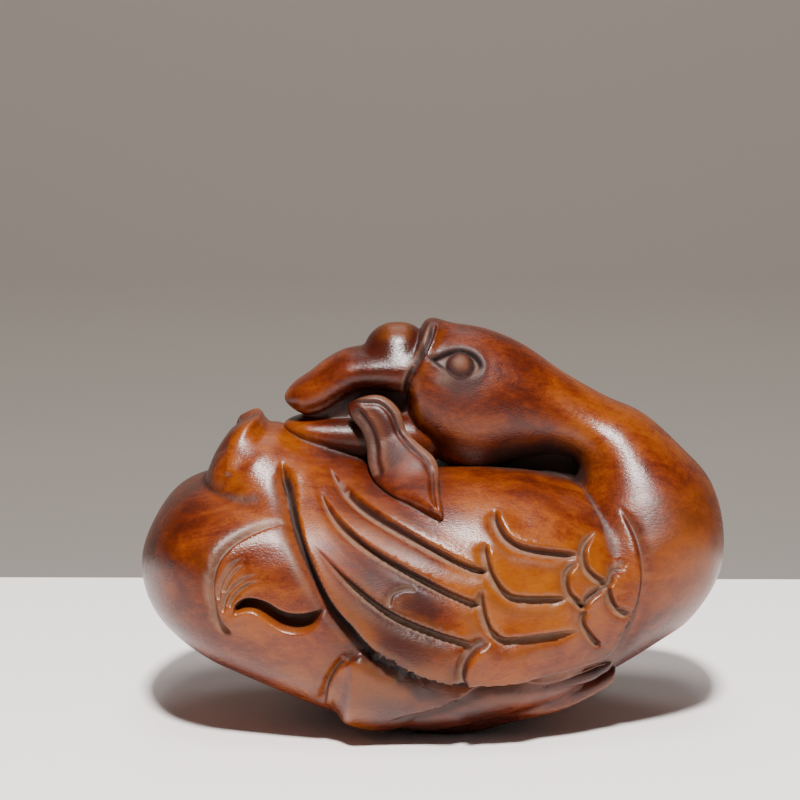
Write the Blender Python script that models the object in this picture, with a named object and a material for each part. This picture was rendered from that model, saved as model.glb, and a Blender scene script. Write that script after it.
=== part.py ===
"""A carved boxwood goose, at rest, with its head turned back over its wings and a leaf in its bill.

The carving is one solid. Its forms are lofts, each a row of sections between a low rail and a high rail.
They are joined into one skin, softened where one form runs into the next, and gouged along a drawing
that is laid on both sides. The leaf is a thin loft that is laid on the carved skin, and the whole is cut
flat underneath. +X is the breast, -Y the side that the leaf hangs on, +Z is up.
"""

import math

import bmesh
import bpy
import numpy as np
from mathutils import Vector
from mathutils.bvhtree import BVHTree

LENGTH = 0.060  # tail to breast, in metres
SHARE = LENGTH / 60  # forms and lines are given in sixtieths of the length

# The drawing of the sides is seen from this far away and this far above the level, in shares.
VIEW_DISTANCE = 300.0
VIEW_TILT = math.radians(12)
CENTRE_HEIGHT = 20.5

BARE_HALF_WIDTH = 1.5  # the carving starts this far from the middle plane and is whole after this rise
CARVING_RISE = 2.0

WOOD_COLOUR = (0.36, 0.105, 0.022, 1.0)
WOOD_ROUGHNESS = 0.34

FACE_LIMIT = 9000  # triangles in the finished solid
CURVE_STEPS = 6  # straight steps between two points of a carved line

# Sections of each form: low x and z, high x and z, half the width across.
BODY = [
    (-30.0, 9.0, -30.0, 23.0, 12.8),
    (-26.2, 8.2, -26.2, 24.6, 14.4),
    (-21.0, 6.0, -21.0, 25.1, 15.6),
    (-16.0, 3.8, -16.0, 25.5, 16.4),
    (-11.0, 1.7, -11.0, 26.1, 17.0),
    (-5.0, -0.3, -5.0, 26.7, 17.5),
    (1.0, -0.7, 1.0, 26.9, 17.6),
    (7.0, 0.4, 7.0, 26.9, 17.0),
    (12.5, 2.1, 12.5, 26.2, 15.7),
    (17.0, 4.6, 17.0, 24.2, 13.9),
    (21.0, 7.4, 20.6, 20.4, 12.0),
    (24.0, 10.0, 23.6, 17.4, 9.6),
]
NECK = [
    (9.5, 7.0, 14.5, 3.9, 8.0),
    (9.5, 11.0, 19.8, 5.6, 11.0),
    (10.0, 14.5, 26.1, 9.9, 12.6),
    (11.2, 18.0, 29.6, 14.8, 13.2),
    (12.8, 21.0, 30.2, 19.6, 12.4),
    (13.6, 23.4, 28.9, 24.4, 10.5),
    (14.5, 25.2, 26.0, 27.8, 8.4),
    (14.6, 26.5, 22.0, 31.4, 6.6),
    (13.8, 27.4, 18.0, 33.3, 5.5),
    (11.4, 27.4, 13.6, 35.8, 5.3),
    (8.4, 26.6, 9.4, 38.7, 5.9),
    (5.2, 25.4, 5.6, 40.3, 6.5),
    (2.4, 25.8, 2.2, 40.9, 6.6),
    (-0.6, 28.0, -0.1, 41.4, 6.1),
    (-3.3, 31.4, -1.8, 40.3, 5.4),
]
UPPER_BILL = [
    (1.0, 33.8, 1.0, 39.0, 4.6),
    (-2.4, 33.7, -2.4, 38.9, 4.9),
    (-5.2, 34.1, -5.4, 38.7, 4.7),
    (-7.4, 34.0, -7.8, 38.5, 4.4),
    (-8.9, 33.2, -9.6, 37.9, 4.2),
    (-10.2, 32.3, -11.1, 37.0, 4.0),
    (-11.5, 31.7, -12.5, 35.9, 3.8),
    (-13.0, 31.5, -13.9, 35.0, 3.5),
    (-14.7, 31.8, -15.5, 34.2, 3.1),
]
LOWER_BILL = [
    (1.0, 26.6, 1.0, 33.0, 4.6),
    (-3.0, 26.4, -3.0, 32.2, 4.4),
    (-7.0, 26.8, -7.0, 31.9, 4.1),
    (-11.0, 27.6, -11.0, 31.6, 3.7),
    (-15.2, 29.3, -15.3, 31.3, 2.9),
]
MOUTH_FLOOR = [
    (0.0, 31.0, 0.0, 36.0, 2.6),
    (-5.0, 30.0, -5.0, 36.5, 2.4),
    (-10.0, 29.8, -10.0, 34.6, 2.2),
    (-13.4, 30.0, -13.4, 32.8, 1.8),
]
WEB = [
    (5.0, 22.0, 5.0, 29.0, 2.4),
    (10.5, 21.0, 10.5, 29.6, 2.2),
    (15.5, 18.0, 15.5, 28.4, 2.4),
    (20.0, 15.0, 20.0, 26.0, 3.4),
]
KNOB = [
    (-7.1, 34.3, -7.1, 40.9, 3.9),
    (-3.5, 34.3, -3.5, 41.0, 4.0),
    (0.1, 34.3, 0.1, 40.9, 3.9),
]
TAIL = [
    (-1.0, 19.0, -1.0, 25.6, 8.0),
    (-6.0, 16.0, -6.0, 27.4, 10.2),
    (-11.6, 14.0, -10.4, 28.6, 11.0),
    (-17.6, 15.0, -13.6, 29.6, 10.4),
    (-22.0, 19.0, -15.6, 30.3, 9.2),
    (-23.4, 23.6, -16.6, 30.4, 7.6),
    (-22.7, 26.6, -17.2, 31.0, 6.2),
    (-21.3, 29.0, -17.5, 31.5, 5.0),
    (-20.1, 30.3, -17.9, 31.7, 3.8),
]

# The head lies in a valley along the back: where it starts, deepens and ends, its depths and half width.
VALLEY_X = (-9.0, 2.0, 9.0, 19.0, 23.0)
VALLEY_DEPTHS = (0.0, 1.2, 2.2, 2.4, 0.0)
VALLEY_HALF_WIDTH = 4.5
VALLEY_START = 18.0  # the height from which the body is pressed in, and how far up it takes to be whole
VALLEY_RISE = 5.0

# Forms that are set on both sides: right and up in the drawing and y, for the low and the high rail, and
# half the depth.
FOOT = [
    (-11.4, -18.7, -11.2, -10.4, -15.4, -15.4, 3.6),
    (-9.3, -19.9, -9.6, -8.2, -13.0, -16.6, 4.1),
    (-5.4, -20.7, -8.0, -4.6, -12.8, -16.6, 4.1),
    (-1.0, -19.6, -9.0, -0.6, -13.6, -15.9, 3.8),
    (3.0, -18.3, -10.4, 3.2, -15.4, -15.0, 3.2),
    (7.0, -17.3, -11.0, 7.2, -15.8, -14.2, 2.5),
    (11.0, -17.0, -10.6, 11.2, -15.4, -13.4, 2.1),
    (15.0, -16.3, -9.8, 15.2, -14.6, -12.4, 1.8),
    (18.8, -15.2, -8.8, 19.0, -13.6, -10.8, 1.4),
]
LEG = [
    (-4.0, -20.8, -6.0, -3.6, -19.4, -8.0, 2.6),
    (3.4, -20.4, -6.4, 3.0, -18.6, -9.2, 2.9),
    (8.0, -19.6, -6.8, 7.2, -17.2, -9.6, 2.9),
    (12.0, -18.6, -7.0, 12.4, -16.4, -9.4, 2.8),
    (15.4, -17.2, -7.2, 16.0, -15.2, -9.0, 2.6),
    (18.8, -15.6, -7.4, 19.0, -13.9, -8.6, 2.2),
]

# The leaf: right and up of its left edge, right and up of its right edge, the y that it hangs at.
LEAF = [
    (-8.9, 11.4, -7.9, 12.4, -3.6),
    (-8.2, 10.2, -5.2, 12.7, -4.4),
    (-7.2, 8.8, -3.3, 11.2, -5.0),
    (-6.7, 6.9, -2.6, 9.1, -5.4),
    (-6.5, 5.3, -1.4, 7.8, -6.4),
    (-5.8, 3.7, 0.3, 6.2, -7.6),
    (-4.2, 2.4, 0.8, 4.6, -8.2),
    (-2.2, 1.5, 0.8, 2.8, -9.4),
    (-0.4, 0.5, 1.1, 0.9, -10.4),
    (0.9, -0.2, 1.3, 0.0, -11.0),
]
LEAF_HALF_THICKNESS = 1.0
LEAF_LIFT = 0.45

# Lines of the drawing, in shares right and up of its centre. The wood on the left hand of a line stands
# over the wood on its right hand.
WING_EDGE = [
    (-15.6, 6.0), (-15.2, 4.4), (-14.7, 2.9), (-13.5, -2.4), (-11.0, -8.1), (-8.7, -11.0), (-5.4, -14.4),
    (-0.8, -16.6), (3.4, -17.4), (8.0, -17.1), (12.0, -16.4),
]
SHOULDER_EDGE = [
    (7.0, -17.1), (10.0, -16.9), (12.5, -16.4), (15.8, -15.5), (18.7, -14.2), (20.3, -11.4), (21.6, -8.5),
    (21.9, -5.6), (21.2, -2.0), (19.4, 1.4),
]
TAIL_EDGE = [(-18.5, 11.4), (-20.3, 9.4), (-21.3, 6.9), (-21.5, 4.2)]
NICK = [(-1.4, -7.5), (-3.0, -7.5), (-4.1, -8.1), (-4.3, -9.2)]
PLUMES = [
    [(-12.0, 3.2), (-10.0, -0.1), (-5.9, -3.6), (0.8, -7.3), (5.4, -9.3)],
    [(-11.2, 5.7), (-9.2, 3.2), (-6.5, 0.8), (-1.7, -2.2), (3.4, -4.9), (6.1, -5.6)],
    [(-12.6, -2.7), (-8.7, -6.5), (-4.3, -9.9), (0.2, -11.9), (4.6, -13.2)],
]
COVERTS = [
    [(6.5, 1.0), (6.9, -0.6), (8.0, -2.2), (10.2, -3.2), (15.8, -3.9)],
    [(5.6, -2.4), (5.7, -3.9), (6.3, -5.9), (7.5, -7.6), (9.3, -8.3), (14.7, -8.3)],
    [(5.1, -7.1), (5.3, -8.9), (5.7, -10.7), (6.5, -12.0), (8.4, -12.6), (15.8, -11.6)],
    [(6.3, -12.9), (4.8, -13.4), (3.6, -14.7), (3.2, -16.1), (3.6, -17.3)],
]
SCALES = [
    [(17.1, -1.1), (16.0, -2.8), (15.9, -3.9), (16.3, -5.3), (17.4, -6.3), (18.4, -6.6)],
    [(15.6, -4.4), (14.4, -5.3), (14.1, -6.6), (14.4, -7.8), (15.2, -8.6), (16.1, -9.6)],
    [(20.3, -4.4), (19.0, -5.5), (18.4, -6.9), (16.5, -8.3), (15.8, -9.6)],
    [(18.4, -6.9), (18.6, -8.2), (19.2, -9.3), (20.6, -10.0)],
    [(16.1, -9.3), (15.8, -10.7), (16.3, -11.8), (17.6, -13.3)],
]
TUFT_EDGE = [
    (-13.9, -0.2), (-16.6, -0.9), (-18.9, -1.8), (-20.7, -2.9), (-22.0, -4.5), (-22.6, -6.5),
    (-22.5, -8.7), (-21.8, -10.8), (-20.5, -12.2),
]
TUFT_STROKES = [
    [(-19.1, -3.9), (-20.7, -5.2), (-21.7, -7.0), (-21.9, -8.5)],
    [(-17.5, -5.7), (-19.7, -6.7), (-21.1, -8.1), (-21.5, -9.8)],
    [(-19.3, -4.9), (-20.6, -6.0), (-21.5, -7.8)],
    [(-17.6, -6.5), (-19.2, -7.2), (-20.3, -8.2), (-20.9, -9.3)],
]
FOOT_EDGE = [(-6.9, -14.0), (-8.1, -14.4), (-9.3, -15.1), (-10.3, -16.4), (-10.9, -17.8), (-11.1, -19.4)]
HOLLOW_TOP = [
    (-20.6, -10.2), (-20.3, -9.0), (-19.0, -8.3), (-17.1, -8.7), (-15.3, -9.7), (-13.3, -9.9), (-10.7, -9.3),
]
HOLLOW_LOW = [
    (-20.6, -10.2), (-18.6, -10.0), (-16.8, -11.2), (-15.3, -12.0), (-13.7, -12.2), (-12.0, -11.5),
    (-10.7, -9.3),
]
COLLAR = [(0.4, 20.9), (0.2, 19.5), (-0.3, 18.1), (-1.1, 16.5), (-1.9, 15.2), (-2.3, 14.2), (-2.6, 12.6)]
EYE = [
    (-0.2, 16.5), (0.9, 17.0), (1.9, 17.4), (3.0, 17.6), (4.2, 17.3), (5.0, 16.6), (5.3, 15.8),
    (5.0, 15.1), (4.3, 14.6), (3.1, 14.4), (2.0, 14.8), (1.0, 15.6), (-0.2, 16.5),
]
EYE_CENTRE = (3.0, 15.9)
EYE_RADIUS = 1.45
SOCKET_DEPTH = 0.55
HOLLOW_DEPTH = 2.0
HOLLOW_WALL = 0.35  # how far the hollow's steep upper side runs, and below it the easier lower side
HOLLOW_SLOPE = 1.1
RIM_WIDTH = 0.3  # of the socket's edge
BALL_FULLNESS = 0.75  # height of the eye's ball over its radius
BALL_SINK = 0.1  # how far its middle lies under the socket's floor

# A cut: depth at its line, width of its steep left side, width of its easy right side, rise of the wood
# that stands over it and how far that rise runs back.
WING_CUT = (1.15, 0.5, 1.7, 0.9, 6.0)
SHOULDER_CUT = (0.5, 0.4, 1.2, 0.2, 2.4)
TAIL_CUT = (0.45, 0.35, 1.5, 0.4, 1.8)
PLUME_CUT = (0.75, 0.45, 1.5, 0.35, 2.6)
SCALE_CUT = (0.6, 0.42, 0.95, 0.16, 1.3)
TUFT_CUT = (0.5, 0.4, 1.0, 0.45, 3.2)
STROKE_CUT = (0.35, 0.25, 0.6, 0.05, 0.8)
FOOT_CUT = (0.7, 0.4, 1.2, 0.2, 1.6)
COLLAR_CUT = (0.4, 0.4, 0.8, 0.35, 1.3)
LID_CUT = (0.0, 0.3, 0.3, 0.3, 0.9)
# Shares of a line's length over which it fades at its start and at its end.
SHORT_TAPERS = (0.16, 0.08)
LONG_TAPERS = (0.35, 0.06)
NO_TAPERS = (0.001, 0.001)
POINTED = 0.35  # share of its width that a cut keeps at its very end
CAP_DENSITY = 1.25  # rings on a rounded end, over those on as long a stretch of the middle
FEWEST_CAP_RINGS = 5
HEAD_LEVEL = 12.3  # lines of the head are above this in the drawing, those of the body below


def ease(amount):
    """A smooth step: 3a^2 - 2a^3, with the amount held between 0 and 1."""
    amount = np.clip(amount, 0.0, 1.0)
    return amount * amount * (3.0 - 2.0 * amount)


def smooth_rows(rows, at):
    """Catmull-Rom curve through the rows; at runs from 0 at the first row to 1 at the last."""
    rows = np.asarray(rows, float)
    padded = np.vstack([2 * rows[0] - rows[1], rows, 2 * rows[-1] - rows[-2]])
    along = np.clip(at, 0.0, 1.0) * (len(rows) - 1)
    first = np.minimum(along.astype(int), len(rows) - 2)
    t = (along - first)[:, None]
    a, b, c, d = (padded[first + step] for step in range(4))
    return 0.5 * (
        2 * b + (c - a) * t + (2 * a - 5 * b + 4 * c - d) * t**2 + (3 * b - a - 3 * c + d) * t**3
    )


def ring_places(rings, start_cap, end_cap):
    """Places along a form: even along its middle, and by equal turns over each rounded end."""
    start = max(FEWEST_CAP_RINGS, round(rings * start_cap * CAP_DENSITY))
    end = max(FEWEST_CAP_RINGS, round(rings * end_cap * CAP_DENSITY))
    first = start_cap * (1 - np.cos(np.linspace(0, math.pi / 2, start, endpoint=False)))
    last = 1 - end_cap * (1 - np.cos(np.linspace(0, math.pi / 2, end, endpoint=False)))
    middle = np.linspace(start_cap, 1 - end_cap, max(2, rings - start - end))
    return np.concatenate([first, middle, last[::-1]])


def loft(rails, rings, around, start_cap, end_cap, fullness=2.0):
    """A closed form between two rails, as a grid of rings x around points.

    A row of the rails is a low point, a high point and half the width. A ring is the middle of its section,
    plus half the section times cos a, plus the half width times sin a along the direction across, and both
    are raised to the power 2 / fullness. Both ends close as a quarter of an ellipse.
    """
    at = ring_places(rings, start_cap, end_cap)
    rows = smooth_rows(rails, at)
    low, high, width = rows[:, 0:3], rows[:, 3:6], rows[:, 6:7]
    middle, half = (low + high) / 2.0, (high - low) / 2.0
    ahead = smooth_rows(rails, np.minimum(at + 0.01, 1.0)) - smooth_rows(rails, np.maximum(at - 0.01, 0.0))
    across = np.cross((ahead[:, 0:3] + ahead[:, 3:6]) / 2.0, half)
    across /= np.linalg.norm(across, axis=1, keepdims=True)
    ends = np.minimum(np.minimum(at / start_cap, (1.0 - at) / end_cap), 1.0)
    size = np.sqrt(np.clip(1.0 - (1.0 - ends) ** 2, 0.0, 1.0))[:, None]
    angle = np.linspace(0.0, 2 * math.pi, around, endpoint=False)
    power = 2.0 / fullness
    up = np.sign(np.cos(angle)) * np.abs(np.cos(angle)) ** power
    out = np.sign(np.sin(angle)) * np.abs(np.sin(angle)) ** power
    half, sideways = half * size, across * width * size
    return middle[:, None] + half[:, None] * up[None, :, None] + sideways[:, None] * out[None, :, None]


def flat_rails(rows):
    """Sections on the middle plane as rows of low point, high point and half width, each point x, y, z."""
    return [(x0, 0.0, z0, x1, 0.0, z1, width) for x0, z0, x1, z1, width in rows]


def drawing(points):
    """Where points fall in the drawing of the side: right and up of its centre, in shares.

    The far side takes the same drawing, mirrored, so y is read as its distance from the middle plane.
    """
    near = -np.abs(points[..., 1])
    height = points[..., 2] - CENTRE_HEIGHT
    c, s = math.cos(VIEW_TILT), math.sin(VIEW_TILT)
    depth = VIEW_DISTANCE + near * c - height * s
    right = VIEW_DISTANCE * points[..., 0] / depth
    up = VIEW_DISTANCE * (near * s + height * c) / depth
    return np.stack([right, up], axis=-1)


def place(right, up, y):
    """The point at depth y that falls on this place of the drawing."""
    c, s = math.cos(VIEW_TILT), math.sin(VIEW_TILT)
    height = (up * (VIEW_DISTANCE + y * c) - VIEW_DISTANCE * y * s) / (VIEW_DISTANCE * c + up * s)
    depth = VIEW_DISTANCE + y * c - height * s
    return (right * depth / VIEW_DISTANCE, y, CENTRE_HEIGHT + height)


def drawn_rails(rows, side):
    """Rails for a form that is given in the drawing, on the near side (1) or mirrored on the far one (-1)."""
    rails = []
    for right0, up0, y0, right1, up1, y1, half_depth in rows:
        low = place(right0, up0, y0)
        high = place(right1, up1, y1)
        rails.append((low[0], side * y0, low[2], high[0], side * y1, high[2], half_depth))
    return rails


def mesh_object(name, grid):
    """A mesh of a loft's grid, in metres, with its two end rings merged into poles."""
    rings, around = grid.shape[:2]
    inner = grid[1:-1].reshape(-1, 3)
    points = np.vstack([grid[0].mean(axis=0), inner, grid[-1].mean(axis=0)]) * SHARE
    last = len(points) - 1
    ring = np.arange(around)
    following = (ring + 1) % around
    faces = [(0, 1 + i, 1 + j) for i, j in zip(ring, following)]
    for step in range(rings - 3):
        base = 1 + step * around
        faces += [(base + i, base + around + i, base + around + j, base + j) for i, j in zip(ring, following)]
    base = 1 + (rings - 3) * around
    faces += [(last, base + j, base + i) for i, j in zip(ring, following)]
    mesh = bpy.data.meshes.new(name)
    mesh.from_pydata(points.tolist(), [], [tuple(map(int, face)) for face in faces])
    shape = bmesh.new()
    shape.from_mesh(mesh)
    bmesh.ops.recalc_face_normals(shape, faces=shape.faces)
    shape.to_mesh(mesh)
    shape.free()
    return bpy.data.objects.new(name, mesh)


def with_valley(grid):
    """The body's grid with the valley for the head pressed into its upper half."""
    x, y, z = grid[..., 0], grid[..., 1], grid[..., 2]
    depth = np.interp(x, VALLEY_X, VALLEY_DEPTHS)
    across = 1.0 - ease(np.abs(y) / VALLEY_HALF_WIDTH)
    upper = ease((z - VALLEY_START) / VALLEY_RISE)
    pressed = grid.copy()
    pressed[..., 2] -= depth * across * upper
    return pressed


def applied(obj):
    """The object's mesh with its modifiers worked in."""
    bpy.context.view_layer.update()
    graph = bpy.context.evaluated_depsgraph_get()
    mesh = bpy.data.meshes.new_from_object(obj.evaluated_get(graph))
    obj.modifiers.clear()
    obj.data = mesh
    return obj


def unite(base, others):
    """Joins the other forms to the base."""
    for other in others:
        joint = base.modifiers.new(other.name, "BOOLEAN")
        joint.operation = "UNION"
        joint.solver = "EXACT"
        joint.object = other
    return applied(base)


def points_of(mesh):
    """The mesh's points as an array, in shares."""
    flat = np.empty(len(mesh.vertices) * 3)
    mesh.vertices.foreach_get("co", flat)
    return flat.reshape(-1, 3) / SHARE


def set_points(mesh, points):
    """Moves the mesh's points to these, given in shares."""
    mesh.vertices.foreach_set("co", (points * SHARE).ravel())
    mesh.update()


def soften(mesh, spots, rounds):
    """Draws points toward the middle of their neighbours near each spot of x, |y|, z and radius."""
    points = points_of(mesh)
    edges = np.empty(len(mesh.edges) * 2, int)
    mesh.edges.foreach_get("vertices", edges)
    edges = edges.reshape(-1, 2)
    count = np.bincount(edges.ravel(), minlength=len(points))
    side = points * (1, 0, 1)
    side[:, 1] = np.abs(points[:, 1])
    weight = np.zeros(len(points))
    for x, y, z, radius in spots:
        away = np.linalg.norm(side - (x, y, z), axis=1)
        weight = np.maximum(weight, ease((1.0 - away / radius) / SOFT_EDGE))
    for _ in range(rounds):
        total = np.zeros_like(points)
        for axis in range(3):
            total[:, axis] = np.bincount(edges[:, 0], points[edges[:, 1], axis], len(points))
            total[:, axis] += np.bincount(edges[:, 1], points[edges[:, 0], axis], len(points))
        middle = total / np.maximum(count, 1)[:, None]
        points = points + SOFT_STEP * weight[:, None] * (middle - points)
    set_points(mesh, points)


def line_measure(places, line):
    """For each place of the drawing: distance to the line, on which hand it is, and how far along."""
    steps = (len(line) - 1) * CURVE_STEPS
    curve = smooth_rows(line, np.linspace(0.0, 1.0, steps + 1))
    best = np.full(len(places), 1e9)
    hand = np.zeros(len(places))
    along = np.zeros(len(places))
    for index in range(steps):
        start = curve[index]
        run = curve[index + 1] - start
        offset = places - start
        share = np.clip(offset @ run / (run @ run), 0.0, 1.0)
        away = np.hypot(*(offset - share[:, None] * run).T)
        closer = away < best
        best[closer] = away[closer]
        hand[closer] = (run[0] * offset[:, 1] - run[1] * offset[:, 0])[closer]
        along[closer] = (index + share[closer]) / steps
    return best, np.sign(hand), along


def cut_relief(places, line, cut, tapers=SHORT_TAPERS):
    """Relief of one gouged line: steep on its left hand, easy on its right, narrow and low at its ends."""
    depth, steep, easy, rise, reach = cut
    away, hand, along = line_measure(places, line)
    over = hand > 0
    fade = ease(along / tapers[0]) * ease((1.0 - along) / tapers[1])
    width = POINTED + (1.0 - POINTED) * fade
    slope = np.where(over, ease(1.0 - away / (steep * width)), ease(1.0 - away / (easy * width)) ** 1.3)
    back = np.where(over, ease(away / steep) * (1.0 - ease(away / reach)), 0.0)
    return (rise * back - depth * slope) * fade


def inside(places, outline):
    """Whether each place of the drawing is inside the closed outline, by counting crossed edges."""
    crossed = np.zeros(len(places), bool)
    for (x0, y0), (x1, y1) in zip(outline, np.roll(outline, -1, axis=0)):
        spans = (places[:, 1] < y0) != (places[:, 1] < y1)
        if y0 != y1:
            crossed ^= spans & (places[:, 0] < x0 + (places[:, 1] - y0) * (x1 - x0) / (y1 - y0))
    return crossed


def curve_of(line):
    """The points of a line's smooth curve."""
    return smooth_rows(line, np.linspace(0.0, 1.0, (len(line) - 1) * CURVE_STEPS + 1))


def body_relief(places):
    """Height of the carving over the plain skin of the body, from its place in the drawing."""
    relief = cut_relief(places, WING_EDGE, WING_CUT)
    relief += cut_relief(places, SHOULDER_EDGE, SHOULDER_CUT)
    relief += cut_relief(places, TUFT_EDGE, TUFT_CUT)
    relief += cut_relief(places, TAIL_EDGE, TAIL_CUT)
    relief += cut_relief(places, NICK, STROKE_CUT)
    relief += cut_relief(places, FOOT_EDGE, FOOT_CUT)
    for line in PLUMES:
        relief += cut_relief(places, line, PLUME_CUT, LONG_TAPERS)
    for line in COVERTS:
        relief += cut_relief(places, line, PLUME_CUT)
    for line in SCALES:
        relief += cut_relief(places, line, SCALE_CUT)
    for line in TUFT_STROKES:
        relief += cut_relief(places, line, STROKE_CUT, LONG_TAPERS)
    edge = np.vstack([curve_of(HOLLOW_TOP), curve_of(HOLLOW_LOW)[::-1]])
    top = line_measure(places, HOLLOW_TOP)[0]
    low = line_measure(places, HOLLOW_LOW)[0]
    bowl = ease(top / HOLLOW_WALL) * ease(low / HOLLOW_SLOPE)
    return relief - HOLLOW_DEPTH * np.where(inside(places, edge), bowl, 0.0)


def head_relief(places):
    """Height of the carving over the plain skin of the head: the collar, the eye and its lids."""
    relief = cut_relief(places, COLLAR, COLLAR_CUT)
    lids = cut_relief(places, EYE, LID_CUT, NO_TAPERS)
    within = inside(places, curve_of(EYE))
    rim = line_measure(places, EYE)[0]
    socket = np.where(within, -SOCKET_DEPTH * ease(rim / RIM_WIDTH), lids)
    away = np.hypot(*(places - EYE_CENTRE).T)
    ball = BALL_FULLNESS * np.sqrt(np.clip(EYE_RADIUS**2 - away**2, 0.0, None)) - SOCKET_DEPTH - BALL_SINK
    return relief + np.where(away < EYE_RADIUS, np.maximum(socket, ball), socket)


def carve(mesh):
    """Moves the skin along its normals by the relief of the drawing, the same on both sides."""
    points = points_of(mesh)
    normals = np.empty(len(points) * 3)
    mesh.vertices.foreach_get("normal", normals)
    normals = normals.reshape(-1, 3)
    places = drawing(points)
    relief = np.zeros(len(points))
    head = places[:, 1] > HEAD_LEVEL
    relief[head] = head_relief(places[head])
    relief[~head] = body_relief(places[~head])
    facing = ease((np.abs(points[:, 1]) - BARE_HALF_WIDTH) / CARVING_RISE)
    set_points(mesh, points + normals * (relief * facing)[:, None])


def leaf_rails(skin):
    """Rails of the leaf, each edge laid on the carved skin or hanging at its own y in front of it."""
    tree = BVHTree.FromPolygons([v.co for v in skin.vertices], [p.vertices for p in skin.polygons])
    c, s = math.cos(VIEW_TILT), math.sin(VIEW_TILT)
    eye = Vector((0.0, -VIEW_DISTANCE * c, CENTRE_HEIGHT + VIEW_DISTANCE * s)) * SHARE
    rails = []
    for right0, up0, right1, up1, y in LEAF:
        row = []
        for right, up in ((right0, up0), (right1, up1)):
            aim = Vector(place(right, up, 0.0)) * SHARE
            hit = tree.ray_cast(eye, (aim - eye).normalized())[0]
            depth = y if hit is None else min(y, hit.y / SHARE - LEAF_LIFT)
            row += place(right, up, depth)
        rails.append((*row, LEAF_HALF_THICKNESS))
    return rails


def cut_flat(mesh):
    """Cuts the underside away at z = 0 and closes it with one flat face."""
    shape = bmesh.new()
    shape.from_mesh(mesh)
    everything = shape.verts[:] + shape.edges[:] + shape.faces[:]
    cut = bmesh.ops.bisect_plane(
        shape, geom=everything, plane_co=(0, 0, 0), plane_no=(0, 0, -1), clear_outer=True
    )
    rim = [edge for edge in cut["geom_cut"] if isinstance(edge, bmesh.types.BMEdge)]
    bmesh.ops.contextual_create(shape, geom=rim)
    bmesh.ops.recalc_face_normals(shape, faces=shape.faces)
    shape.to_mesh(mesh)
    shape.free()


def keep_outer_skin(mesh):
    """Fills what the joined forms have shut in: only the largest connected skin stays."""
    shape = bmesh.new()
    shape.from_mesh(mesh)
    skins = []
    waiting = set(shape.verts)
    while waiting:
        skin = [waiting.pop()]
        for vert in skin:
            for edge in vert.link_edges:
                other = edge.other_vert(vert)
                if other in waiting:
                    waiting.remove(other)
                    skin.append(other)
        skins.append(skin)
    skins.sort(key=len)
    for skin in skins[:-1]:
        bmesh.ops.delete(shape, geom=skin, context="VERTS")
    shape.to_mesh(mesh)
    shape.free()


def thin_out(obj, limit):
    """Fewer triangles, with the shape kept as near as they allow."""
    less = obj.modifiers.new("fewer_faces", "DECIMATE")
    obj.data.calc_loop_triangles()
    less.ratio = limit / len(obj.data.loop_triangles)
    less.use_collapse_triangulate = True
    applied(obj)
    shape = bmesh.new()
    shape.from_mesh(obj.data)
    take_out_folds(shape)
    shape.to_mesh(obj.data)
    shape.free()


def take_out_folds(shape):
    """Takes out triangles folded flat against each other in pairs, and those that hang by one edge."""
    while True:
        met = {}
        for face in shape.faces:
            met.setdefault(frozenset(face.verts), []).append(face)
        spare = [face for faces in met.values() for face in faces[: len(faces) // 2 * 2]]
        spare += [face for face in shape.faces if sum(edge.is_boundary for edge in face.edges) > 1]
        if not spare:
            return
        bmesh.ops.delete(shape, geom=list(set(spare)), context="FACES")


def wood_material():
    """Polished boxwood, red-brown."""
    material = bpy.data.materials.new("polished_boxwood")
    material.use_nodes = True
    shader = material.node_tree.nodes["Principled BSDF"]
    shader.inputs["Base Color"].default_value = WOOD_COLOUR
    shader.inputs["Roughness"].default_value = WOOD_ROUGHNESS
    material.diffuse_color = WOOD_COLOUR
    return material


def clear_scene():
    """Takes away whatever the scene started with."""
    for obj in list(bpy.data.objects):
        bpy.data.objects.remove(obj)


# Where forms run into each other softly: x, distance from the middle plane, z and reach.
SOFT_SPOTS = [
    (-8.0, 8.0, 24.0, 7.0),
    (-14.0, 10.0, 24.0, 6.0),
    (-4.0, 4.0, 26.0, 6.0),
    (-22.0, 10.0, 21.0, 5.0),
    (22.0, 11.0, 14.0, 8.0),
    (20.0, 12.0, 8.0, 6.0),
    (21.0, 9.0, 20.0, 5.0),
    (18.0, 4.0, 4.0, 6.0),
    (22.0, 5.0, 6.0, 6.0),
]
KNOB_SPOTS = [
    (-7.0, 1.5, 38.3, 2.0),
    (-6.6, 3.2, 37.4, 2.4),
    (-4.6, 4.2, 37.6, 2.8),
    (-2.6, 4.2, 37.6, 2.6),
]
SOFT_EDGE = 0.5  # share of a spot's reach over which the softening fades
SOFT_STEP = 0.6
SOFT_ROUNDS = 14
KNOB_ROUNDS = 8

# The grid of each form: rings, points around, shares of its length in its two round ends, fullness.
BODY_GRID = (170, 190, 0.18, 0.06, 2.6)
NECK_GRID = (130, 90, 0.06, 0.05, 2.1)
TAIL_GRID = (90, 70, 0.14, 0.09, 2.2)
WEB_GRID = (20, 20, 0.1, 0.1, 2.0)
UPPER_BILL_GRID = (60, 44, 0.05, 0.16, 2.2)
LOWER_BILL_GRID = (40, 36, 0.05, 0.16, 2.2)
MOUTH_FLOOR_GRID = (20, 20, 0.1, 0.2, 2.0)
KNOB_GRID = (36, 32, 0.46, 0.46, 2.0)
FOOT_GRID = (60, 40, 0.14, 0.1, 2.0)
LEG_GRID = (50, 36, 0.1, 0.06, 2.0)
LEAF_GRID = (60, 32, 0.08, 0.08, 2.4)


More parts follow.
